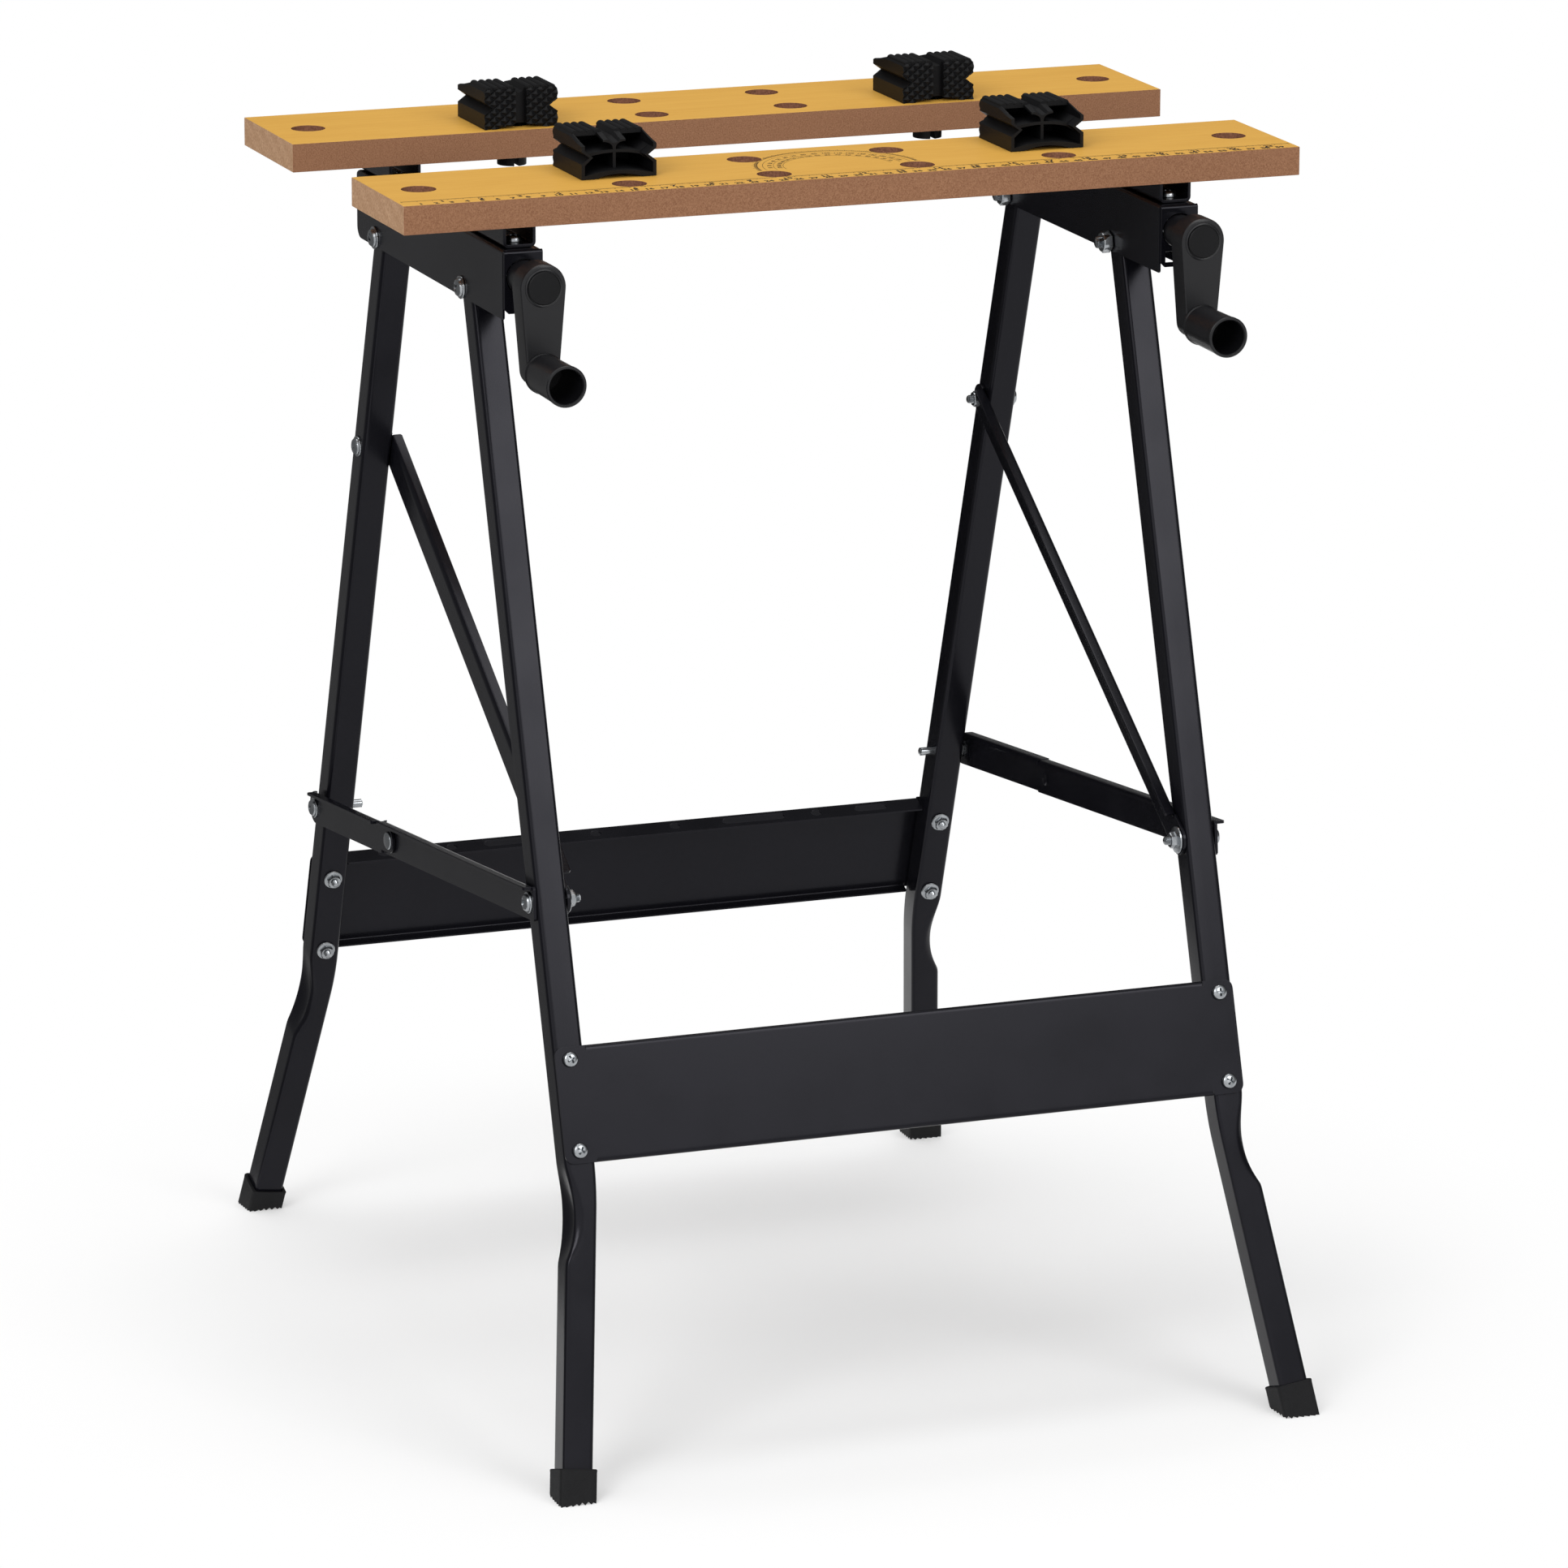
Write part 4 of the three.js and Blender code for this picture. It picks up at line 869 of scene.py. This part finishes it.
spindle = {
    "core": 4.1, "outer": 5, "lead": 5, "ridge": 1.2, "front": -189.75, "rear": 101.5, "threadFront": -155,
    "collar": 9, "collarFront": -168.25, "collarRear": -164.25}


# helical thread swept along a spiral
def threadHelix():
    length = spindle["rear"] - spindle["threadFront"] - 3
    tree, given, settings = newTree("thread helix", {
        "Turns": length / spindle["lead"], "Radius": spindle["outer"] - spindle["ridge"], "Length": length,
        "Ridge": spindle["ridge"]})
    spiral = addNode(tree, "GeometryNodeCurveSpiral", {
        "Resolution": 20, "Rotations": given["Turns"], "Start Radius": given["Radius"],
        "End Radius": given["Radius"], "Height": given["Length"]})
    ridge = addNode(tree, "GeometryNodeCurvePrimitiveCircle", {"Resolution": 6, "Radius": given["Ridge"]})
    swept = addNode(tree, "GeometryNodeCurveToMesh", {
        "Curve": spiral, "Profile Curve": ridge, "Fill Caps": True})
    return grow(tree, swept, zinc, settings)


def spindleRod():
    place = Matrix.Translation((bench["railX"], 0, bench["spindleZ"])) @ Matrix.Rotation(-pi / 2, 4, "X")
    core, outer, thread = spindle["core"], spindle["outer"], spindle["threadFront"]
    front, rear = spindle["front"], spindle["rear"]
    collar, near, far = spindle["collar"], spindle["collarFront"], spindle["collarRear"]
    rod = lathe([
        (0, front), (outer - 0.4, front), (outer, front + 0.5), (outer, near), (collar - 0.4, near),
        (collar, near + 0.45), (collar, far - 0.45), (collar - 0.4, far), (outer, far), (outer, thread),
        (core, thread + 1), (core, rear - 1.2), (core - 1.2, rear), (0, rear)], 32, place)
    helix = moved(threadHelix(), 0, 0, thread + 1.5)
    helix.transform(place)
    return joined(rod, helix)


pair("Crank", crankArm, "crank_*", "crank", plastic)
pair("CrankCap", crankCap, "crank_*", "crank_cap", gripPlastic)
pair("Spindle", spindleRod, "crank_*", "spindle", zinc)
for sideName in sides:
    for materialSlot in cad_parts["spindle_nut_" + sideName].material_slots:
        materialSlot.material = zinc
print("cranks and spindles done")


# legs: square tube, crushed on its outer side where it is bent outwards

leg = {
    "half": 10, "corner": 2.6, "wall": 1.5, "top": 10, "hollow": 30, "knee": 572, "bend": 16, "splay": 7.4,
    "sole": 9, "dentStart": 556, "dentEnd": 620, "dentFront": 5.6, "dentRear": 2.4, "dentDeep": 2.6,
    "foldWide": 10.5, "foldDeep": 4.2}
legReach = bench["pivotZ"] / cos(lean)
splay = radians(leg["splay"])


# axis offset and tilt of the tube at a distance below its pivot
def legAxis(distance):
    past = distance - (leg["knee"] - leg["bend"])
    span = 2 * leg["bend"]
    if past <= 0:
        return bench["railX"], 0
    if past < span:
        return bench["railX"] + tan(splay) * past * past / (2 * span), splay * past / span
    return bench["railX"] + tan(splay) * (distance - leg["knee"]), splay


def legPoint(distance, across, along):
    x, tilt = legAxis(distance)
    return Vector((x + across * cos(tilt), along, -distance + across * sin(tilt)))


def tubeRing(distance, half):
    t = (distance - leg["dentStart"]) / (leg["dentEnd"] - leg["dentStart"])
    weight = sin(pi * t ** 1.35) ** 1.1 if 0 < t < 1 else 0
    corner, flat = leg["corner"], half - leg["corner"]
    ring = []
    for quarter, (signX, signY) in enumerate(((1, 1), (-1, 1), (-1, -1), (1, -1))):
        ring += arc(signX * flat, signY * flat, corner, 90 * quarter, 90 * quarter + 90, 5)
        if quarter == 2:        # extra points across the front and outer walls, where the dent is
            ring += [(-1 + (flat + 1) * k / 8, -half) for k in range(8)]
        if quarter == 3:
            ring += [(half, -flat * (1 - 2 * k / 6)) for k in range(1, 6)]
    pushed = []
    for across, along in ring:
        share = max(0, across / half) ** 2
        dish = 1 - min(1, abs(along) / half) ** 2
        frontness = 0.5 - along / half / 2      # the front edge is crushed further than the rear one
        edgePush = leg["dentRear"] + (leg["dentFront"] - leg["dentRear"]) * frontness
        # the front wall is creased and folded back beside the outer edge
        crease = leg["foldWide"] * weight
        turned = min(1, max(0, (across - half + crease) / crease)) if crease > 0.01 else 0
        along += weight * leg["foldDeep"] * turned * max(0, -along / half) ** 2
        across -= weight * share * (edgePush + leg["dentDeep"] * dish)
        pushed.append(legPoint(distance, across, along))
    return pushed


def legTube(place):
    half, inner, end = leg["half"], leg["half"] - leg["wall"], legReach - leg["sole"]
    # distances below the pivot, close together at the dent
    stops = [-leg["top"], 0, 150, 300, 450, 540, *range(550, 634, 3), 640, 680, 720, end - 4, end]
    rings = [tubeRing(distance, half) for distance in reversed(stops)]
    bm = loft(rings + [tubeRing(-leg["top"], inner), tubeRing(leg["hollow"], inner)])
    bm.transform(place)
    return bm


for row, place, outward in legRows:
    pair(row.capitalize() + "Leg", lambda: legTube(place), row + "_legs", "leg_" + row, paint)
print("legs done")


# rubber feet with a toothed sole

foot = {"half": 12.2, "corner": 2.4, "height": 19, "cells": 12, "tooth": 1.8, "socket": 10.25, "deep": 6}


def squareRing(half, corner, count):
    ring = []
    inner = half - corner
    for quarter in range(4):
        for k in range(count):
            t = -half + 2 * half * k / count
            across, along = ((half, t), (-t, half), (-half, -t), (t, -half))[quarter]
            cx, cy = max(-inner, min(inner, across)), max(-inner, min(inner, along))
            reach = hypot(across - cx, along - cy)
            if reach > corner:
                across, along = cx + (across - cx) * corner / reach, cy + (along - cy) * corner / reach
            ring.append((across, along))
    return ring


# point of the foot that lies at a height above the floor, on the line through two points of the lower leg
def onFloor(place, across, along, height):
    low, high = place @ legPoint(700, across, along), place @ legPoint(760, across, along)
    return low + (high - low) * ((low.z - height) / (low.z - high.z))


# rings from the socket down the wall, then inwards over the sole with tips and valleys of teeth in turn
def rubberFoot(place):
    count, half, corner, tooth = foot["cells"], foot["half"], foot["corner"], foot["tooth"]
    top, socket = legReach - foot["height"], foot["socket"]
    rings = []
    for below, size in ((foot["deep"], socket), (0.4, socket), (0, half - 1.0), (0.1, half - 0.3),
                        (0.8, half + 0.15), (2.5, half)):
        edge = squareRing(size, corner - 0.6 if size < half - 0.5 else corner, count)
        rings.append([place @ legPoint(top + below, a, b) for a, b in edge])
    rings.append([onFloor(place, a, b, tooth + 1) for a, b in squareRing(half, corner, count)])
    for step in range(count // 2):
        edge = squareRing(half * (1 - 2 * step / count), 0.01 if step else corner, count)
        rings.append([onFloor(place, a, b, tooth * ((k + step) % 2)) for k, (a, b) in enumerate(edge)])
    return loft(rings)


for row, place, outward in legRows:
    pair(row.capitalize() + "Foot", lambda: rubberFoot(place), row + "_legs", "foot_" + row,
         rubber)
print("feet done")


# tool trays: pressed sheet, slotted flange along the top and a short lip below

tray = {
    "half": 232.2, "inner": 211, "top": -484, "low": -558, "sheet": 1.2, "bend": 1.0, "corner": 6,
    "flange": 16, "lip": 8, "face": 10.25, "notch": 0.3, "round": 3.8, "slotHalf": 3.6, "long": 19.5,
    "short": 8.5, "pitch": 58, "screws": (492.2, 549.8)}


def toolTray(place, outward):
    sheet, bend, inner, half, corner = (tray[k] for k in ("sheet", "bend", "inner", "half", "corner"))
    used = bendLength(bend, sheet) - 2 * (bend + sheet)
    top, low, side = tray["top"], tray["low"], inner + tray["notch"]
    flangeEnd, lipEnd = top + used + tray["flange"], low - used - tray["lip"]
    relief = bend + sheet + 0.9
    right = [(inner - 1, lipEnd), (inner, lipEnd + 1), (inner, low + relief), (side, low + relief),
             (side, low)]
    right += arc(half - corner, low + corner, corner, -90, 0, 6)
    right += arc(half - corner, top - corner, corner, 0, 90, 6)
    right += [(side, top), (side, top - relief), (inner, top - relief), (inner, flangeEnd - 1),
              (inner - 1, flangeEnd)]
    line = top + used + tray["flange"] / 2
    holes = []
    for step in (tray["pitch"], -tray["pitch"]):
        holes += [circle(step * 0.5, line, tray["round"]), circle(step * 2.3, line, tray["round"]),
                  slot(step * 1.5, line, tray["long"], tray["slotHalf"]),
                  slot(step * 3, line, tray["short"], tray["slotHalf"])]
    bm = plate([mirrored(right)] + holes, sheet, 0.12)
    for reach, up in ((top, 1), (-low, -1)):
        fold(bm, 1, reach, up, -1, bend, sheet, between=(-inner - 0.05, inner + 0.05))
    # across, thickness and height of the blank in the leg frame
    bm.transform(place @ Matrix((
        (1, 0, 0, 0), (0, 0, outward, outward * tray["face"]), (0, 1, 0, 0), (0, 0, 0, 1))))
    return bm


for row, place, outward in legRows:
    piece(row + "Tray", toolTray(place, outward), row + "_legs", [row + "_tool_tray"],
          [paint])
print("tool trays done")


# folding linkage: struts inside, two-part braces outside

link = {
    "half": 11, "sheet": 2, "bend": 1.0, "hole": 3.25, "rivetHole": 2.95, "strutX": 209.95, "strutHalf": 10,
    "strutInset": 14, "slotTilt": 108.5, "slotUp": 5.4, "slotDown": 2.5, "frontX": 232.45, "rearX": 234.7,
    "flange": 8, "nose": 9, "tail": 16, "corner": 1.5, "rearStep": 16.5, "rearEnd": 8.5,
    "frontFlangeEnd": 14}


# flange blank on the upper edge of a bar between two stations
def flangeTab(start, end, half):
    reach = unrolled(half, link["flange"], link["bend"], link["sheet"])
    relief = half - link["bend"] - link["sheet"] - 0.8
    return [(end + 1, half), (end + 1, relief), (end, relief), (end, reach - 1), (end - 1, reach),
            (start + 1, reach), (start, reach - 1), (start, relief), (start - 1, relief), (start - 1, half)]


# cuts a bar, folds its flange and stands it in its side plane between two pivots
def pressedBar(loops, tab, half, up, x, start, end, extra=()):
    bm = plate(loops, link["sheet"])
    fold(bm, 1, half, 1, up, link["bend"], link["sheet"], between=(tab[0] - 0.05, tab[1] + 0.05))
    bm = joined(bm, *extra)
    along = (end - start).normalized()
    upward = Vector((1, 0, 0)).cross(along)
    # blank axes (along, across, thickness) to bench axes
    bm.transform(Matrix((
        (0, 0, 1, x), (along.y, upward.y, 0, start.y), (along.z, upward.z, 0, start.z), (0, 0, 0, 1))))
    return bm


def strutBar():
    length, half = (strutPivot - frontBracePivot).length, link["strutHalf"]
    tab = (link["strutInset"], length - 1.5)
    rim = arc(0, 0, half, 90, 270, 14) + arc(length, 0, half, -90, 90, 14)[:-1] + flangeTab(*tab, half)
    tilt = link["slotTilt"]         # the lower hole is a short slanted slot
    x, y, up, down = cos(radians(tilt)), sin(radians(tilt)), link["slotUp"], link["slotDown"]
    opening = arc(up * x, up * y, link["hole"], tilt - 90, tilt + 90)
    opening += arc(-down * x, -down * y, link["hole"], tilt + 90, tilt + 270)
    loops = [rim, circle(length, 0, link["hole"]), opening]
    return pressedBar(loops, tab, half, -1, link["strutX"], frontBracePivot, strutPivot)


def frontLinkBar():
    half, length, nose, cut = link["half"], frontLinkLength, -link["nose"], link["corner"]
    tail = length + link["tail"]
    tab = (nose + 2, length + link["frontFlangeEnd"])
    rim = [(nose, cut - half), (nose + cut, -half), (tail - cut, -half), (tail, cut - half),
           (tail, half - cut), (tail - cut, half)] + flangeTab(*tab, half) + [(nose, half - cut)]
    rivetTail = lathe([(0, -1.6), (3.2, -1.6), (4.2, -1.1), (4.2, 0.4), (0, 0.4)], 24)
    return pressedBar([rim, circle(0, 0, link["hole"])], tab, half, 1, link["frontX"], frontBracePivot,
                      midBracePivot, [moved(rivetTail, length, 0, 0)])


def rearLinkBar():
    half, length, step, end = link["half"], bench["rearLink"], link["rearStep"], link["rearEnd"]
    tab = (step + 1, length - 2)
    rim = arc(0, 0, end, 90, 270, 14) + [(step, -end), (step, -half)] + arc(length, 0, half, -90, 80, 14)
    rim += flangeTab(*tab, half)[:-1] + [(step, half - 3.8), (step, end)]
    loops = [rim, circle(0, 0, link["rivetHole"]), circle(length, 0, link["hole"])]
    return pressedBar(loops, tab, half, 1, link["rearX"], midBracePivot, rearBracePivot)


pair("Strut", strutBar, "strut_*", "strut", paint)
pair("FrontLink", frontLinkBar, "brace_front_*", "brace_link_front", paint)
pair("RearLink", rearLinkBar, "brace_rear_*", "brace_link_rear", paint)
print("linkage done")


# screws, bolts, nuts and rivets: one pattern for each kind, set out on points

def phillipsHead(radius, height, washer):
    dome, low = (radius * 0.8, height * 0.28) if washer else (radius, height * 0.1)
    rim = [(radius, low * 0.7), (radius - 0.25, low)] if washer else [(radius, low)]
    crown = ((0.96, 0.55), (0.82, 0.8), (0.6, 0.93), (0.3, 0.99), (0, 1))
    rim += [(dome, low + 0.05)] + [(dome * r, height * h) for r, h in crown]
    head = lathe([(0, 0), (radius, 0)] + rim, 36)
    cross = []
    for turn in (0.5, pi / 2 + 0.5):
        bar = loft([[(dome * 0.6 * s * x, dome * 0.15 * s * y, height * z) for x, y in (
            (-1, -1), (1, -1), (1, 1), (-1, 1))] for s, z in ((0.45, 0.3), (1.1, 1.2))])
        bar.transform(Matrix.Rotation(turn, 4, "Z"))
        cross.append(bar)
    return combine(head, cross, "DIFFERENCE")


# six-sided nut below its seat, the far edge rounded off, with a flange at the seat where it has one
def hexNut(radius, top, height, flange):
    rings = []
    flat = cos(pi / 6)
    for size, low, dip in ((0.9, 0, flat), (1, 0.1, flat), (1, 0.86, flat), (0.86, 1, 1)):
        ring = []
        for i in range(12):
            reach = radius * size * (dip if i % 2 else 1)
            ring.append((reach * cos(pi / 6 * i), reach * sin(pi / 6 * i), top - height * low))
        rings.append(ring)
    nut = [loft(rings)]
    if flange:
        nut.append(lathe([
            (0, top), (flange - 0.3, top), (flange, top - 0.4), (flange - 0.4, top - 1.1),
            (radius * 0.9, top - 1.7), (0, top - 1.7)]))
    return nut


# fastener along Z: head above z = 0, shank, nut and thread end below
def fastener(kind):
    radius, grip, tail, head, height = (kind[k] for k in ("shank", "grip", "tail", "head", "height"))
    nutHeight = kind.get("nutHeight", 1.6 * radius) if kind.get("nut") else 0
    end = -(grip + nutHeight + tail)
    profile = [(0, 0.3), (radius * 0.96, 0.3)]
    if kind.get("collar"):
        size, high, low = kind["collar"]
        profile += [(radius * 0.96, high), (size, high), (size, low), (radius * 0.96, low)]
    if tail > 1:
        depth = end + 1 if kind.get("stud") else -(grip + nutHeight)
        profile.append((radius * 0.96, depth + 0.2))
        while depth > end + 0.9:          # thread ridges on the free end
            profile += [(radius, depth - 0.2), (radius * 0.84, depth - 0.55)]
            depth -= 0.8
    profile += [(radius * 0.9, end + 0.6), (radius * 0.6, end), (0, end)]
    shapes = [lathe(profile, 20)]
    if kind.get("nut"):
        shapes += hexNut(kind["nut"], -grip, nutHeight, kind.get("flange"))
    if kind.get("rivet"):
        shapes.append(lathe([
            (0, 0), (head, 0), (head, 0.5), (head * 0.9, height * 0.55), (head * 0.6, height * 0.9),
            (0, height)], 36))
    else:
        shapes.append(phillipsHead(head, height, kind.get("washer")))
    return joined(*shapes)


def setOut(kind, places):
    pattern = asObject(fastener(kind))
    tree, given, settings = newTree("set out fasteners", {"Fastener": pattern})
    turn = addNode(tree, "GeometryNodeInputNamedAttribute", {"Name": "turn"}, data_type="FLOAT_VECTOR")
    shape = addNode(tree, "GeometryNodeObjectInfo", {
        "Object": given["Fastener"], "As Instance": True}, "Geometry")
    copies = addNode(tree, "GeometryNodeInstanceOnPoints", {
        "Points": given["Geometry"], "Instance": shape, "Rotation": turn})
    points = bpy.data.meshes.new("points")
    points.from_pydata([place.translation for place in places], [], [])
    turns = points.attributes.new("turn", "FLOAT_VECTOR", "POINT")
    for item, place in zip(turns.data, places):
        item.vector = place.to_euler()
    bm = grow(tree, copies, zinc, settings, points)
    bpy.data.objects.remove(pattern)
    return bm


# places at a pivot on both sides, with the head facing outwards along X and its cross turned at will
def facingX(x, pivot, both=(1, -1)):
    return [
        Matrix.Translation((side * x, pivot.y, pivot.z)) @ Matrix.Rotation(side * pi / 2, 4, "Y")
        @ Matrix.Rotation(0.4 * side + pivot.y, 4, "Z") for side in both]


# places of a tray's screws, with the head facing outwards along Y of the leg frame
def facingY(place, outward, spin):
    depth = tray["face"] + tray["sheet"] + bench["clear"]
    return [
        place @ Matrix.Translation((side * bench["railX"], outward * depth, -low))
        @ Matrix.Rotation(-outward * pi / 2, 4, "X") @ Matrix.Rotation(spin + low * side, 4, "Z")
        for side in (1, -1) for low in tray["screws"]]


# upright places on both carriages of a board
def onCarriage(boardY):
    z = carriage["low"] + carriage["sheet"] + bench["clear"]
    return [Matrix.Translation((side * bench["railX"], boardY + bench["screw"], z)) for side in (1, -1)]


def fastenerSet(name, body, nodes, *sets):
    bm = joined(*[setOut(kind, places) for kind, places in sets])
    piece(name, bm, body, nodes, [zinc], crease=40)


def leftAndRight(*names):
    return [f"{name}_{sideName}" for name in names for sideName in ("left", "right")]


pivotBolt = {"head": 7.5, "height": 4.2, "washer": True, "shank": 3.9, "grip": 26.5, "nut": 7.2, "tail": 4}
linkBolt = {"head": 7, "height": 3.8, "washer": True, "shank": 2.9, "nut": 5.4, "tail": 4}
trayScrew = {"head": 5, "height": 3, "shank": 2.4, "grip": 21.95, "nut": 4.4, "tail": 4}
carriageScrew = {"head": 5.5, "height": 4, "shank": 2.9}
braceRivet = {"head": 6, "height": 2.4, "shank": 2.6, "grip": 2.2, "tail": 0, "rivet": True}
rearSeat = link["rearX"] + link["sheet"] + bench["clear"]
pivotSeat = bench["railX"] + rail["width"] / 2 + bench["clear"]

fastenerSet(
    "topBolts", "top", leftAndRight("pivot_bolt_front", "pivot_bolt_rear", "carriage_screw_front"),
    (pivotBolt, facingX(pivotSeat, frontPivot) + facingX(pivotSeat, rearPivot)),
    ({**carriageScrew, "grip": 4.25, "nut": 5.4, "tail": 0.25}, onCarriage(bench["frontBoardY"])))
fastenerSet(
    "rearJawScrews", "rear_jaw", leftAndRight("carriage_screw_rear"),
    ({**carriageScrew, "grip": 13.7, "tail": 0}, onCarriage(bench["rearBoardY"])))
fastenerSet(
    "frontLegBolts", "front_legs",
    leftAndRight("tray_screw_front_upper", "tray_screw_front_lower", "brace_bolt_front"),
    (trayScrew, facingY(frontLegPlace, -1, 0.5)),
    ({**linkBolt, "grip": 25.0, "flange": 9, "nutHeight": 5.4}, facingX(link["rearX"], frontBracePivot)))
fastenerSet(
    "rearLegBolts", "rear_legs",
    leftAndRight("tray_screw_rear_upper", "tray_screw_rear_lower", "strut_bolt", "brace_bolt_rear"),
    ({**trayScrew, "nut": 4.9, "flange": 6.6, "nutHeight": 4.6, "tail": 2.6}, facingY(rearLegPlace, 1, 0.3)),
    ({**linkBolt, "grip": 22.75}, facingX(link["frontX"], strutPivot)),
    ({**linkBolt, "grip": 24.75, "nut": None, "tail": 9, "stud": True, "collar": (6, -2.5, -4.25)},
     facingX(rearSeat, rearBracePivot)))
for sideName, side in sides.items():
    fastenerSet(sideName + "BraceRivet", "brace_rear_" + sideName, ["brace_rivet_" + sideName],
                (braceRivet, facingX(rearSeat, midBracePivot, [side])))
print("fasteners done")


# floor, light and camera

studio = {
    "floor": "#f8f8f8", "floorHalf": 20, "clear": 0.24, "fade": 0.42, "glow": (-0.52, -0.7, 0.49),
    "dim": 0.1, "bright": 1.15, "key": 46, "fill": 44, "top": 34, "flagNear": "#7c7c7c", "flagFar": "#181818",
    "flagTurn": (0.5, 0.85), "flagStart": (-0.61, -0.42), "flagEnd": (0.68, 2.95), "flagHigh": 1.1}


def stageCard(name, corners, material):
    mesh = bpy.data.meshes.new(name)
    mesh.from_pydata(corners, [], [(0, 1, 2, 3)])
    mesh.materials.append(material)
    card = newObject(name, mesh)
    return card


# pale floor that keeps the shadow and turns to plain white further out
def studioFloor():
    material, tree, place = startMaterial("white_studio_floor")
    reach = addNode(tree, "ShaderNodeVectorMath", {0: place}, "Value", operation="LENGTH")
    far = addNode(tree, "ShaderNodeMapRange", {
        0: reach, 1: studio["clear"], 2: studio["clear"] + studio["fade"]}, interpolation_type="SMOOTHSTEP")
    rays = addNode(tree, "ShaderNodeLightPath", out="all")
    seen = rays["Is Camera Ray"]
    for other in ("Is Glossy Ray", "Is Transmission Ray"):
        seen = addNode(tree, "ShaderNodeMath", {0: seen, 1: rays[other]}, operation="MAXIMUM")
    amount = addNode(tree, "ShaderNodeMath", {0: far, 1: seen}, operation="MULTIPLY")
    dull = addNode(tree, "ShaderNodeBsdfDiffuse", {"Color": studio["floor"]})
    white = addNode(tree, "ShaderNodeEmission", {"Color": (1, 1, 1, 1), "Strength": 1.0})
    endMaterial(tree, {0: amount, 1: dull, 2: white}, "ShaderNodeMixShader")
    half = studio["floorHalf"]
    stageCard("floor", [(-half, -half, 0), (half, -half, 0), (half, half, 0), (-half, half, 0)], material)


# grey card beyond the left of the picture, so that the left-hand sides of the bench mirror something dark
def studioFlag():
    material, tree, place = startMaterial("grey_studio_flag")
    material.cycles.emission_sampling = "NONE"
    depth = addNode(tree, "ShaderNodeSeparateXYZ", {0: place}, "Y")
    start, end = studio["flagTurn"]
    shade = addNode(tree, "ShaderNodeMapRange", {0: depth, 1: start, 2: end})
    colour = addNode(tree, "ShaderNodeMix", {
        0: shade, 6: studio["flagNear"], 7: studio["flagFar"]}, 2, data_type="RGBA")
    endMaterial(tree, {"Color": colour, "Strength": 1.0}, "ShaderNodeEmission")
    near, far, high = studio["flagStart"], studio["flagEnd"], studio["flagHigh"]
    flag = stageCard("flag", [(*near, 0), (*far, 0), (*far, high), (*near, high)], material)
    flag.visible_camera = False
    flag.visible_diffuse = False
    flag.visible_shadow = False


# dim room with a broad soft glow from the front left
def studioWorld():
    world = bpy.data.worlds.new("studio")
    world.use_nodes = True
    tree = world.node_tree
    tree.nodes.clear()
    heading = addNode(tree, "ShaderNodeTexCoord", out="Generated")
    facing = addNode(tree, "ShaderNodeVectorMath", {
        0: heading, 1: studio["glow"]}, "Value", operation="DOT_PRODUCT")
    level = addNode(tree, "ShaderNodeMapRange", {
        0: facing, 1: -0.2, 2: 0.95, 3: studio["dim"], 4: studio["bright"]}, interpolation_type="SMOOTHSTEP")
    soft = addNode(tree, "ShaderNodeBackground", {"Color": (1, 1, 1, 1), "Strength": level})
    addNode(tree, "ShaderNodeOutputWorld", {"Surface": soft}, "all")
    bpy.context.scene.world = world


def softLamp(name, place, target, size, power):
    data = bpy.data.lights.new(name, "AREA")
    data.shape = "DISK"
    data.size = size
    data.energy = power
    lamp = newObject(name, data)
    lamp.location = place
    lamp.rotation_euler = (Vector(target) - Vector(place)).to_track_quat("-Z", "Y").to_euler()


studioFloor()
studioFlag()
studioWorld()
softLamp("keyLamp", (-2.6, -2.4, 2.9), (0, 0, 0.5), 1.8, studio["key"])
softLamp("fillLamp", (1.4, -3.7, 2.65), (0, 0, 0.45), 2.2, studio["fill"])
softLamp("topLamp", (0.2, 0.6, 3.4), (0, 0, 0.4), 2.4, studio["top"])

view = {
    "place": (-1.9280, -5.1031, 1.7843), "turn": -20.866, "tip": 90 - 14.620, "roll": 0.1976, "lens": 195.82}
cameraData = bpy.data.cameras.new("camera")
cameraData.lens = view["lens"]
cameraData.sensor_width = 36
cameraData.clip_end = 100
camera = newObject("camera", cameraData)
camera.matrix_world = (
    Matrix.Translation(view["place"]) @ Matrix.Rotation(radians(view["turn"]), 4, "Z")
    @ Matrix.Rotation(radians(view["tip"]), 4, "X") @ Matrix.Rotation(radians(view["roll"]), 4, "Z"))
bpy.context.scene.camera = camera
bpy.context.scene.view_settings.view_transform = "Standard"
print("studio done")
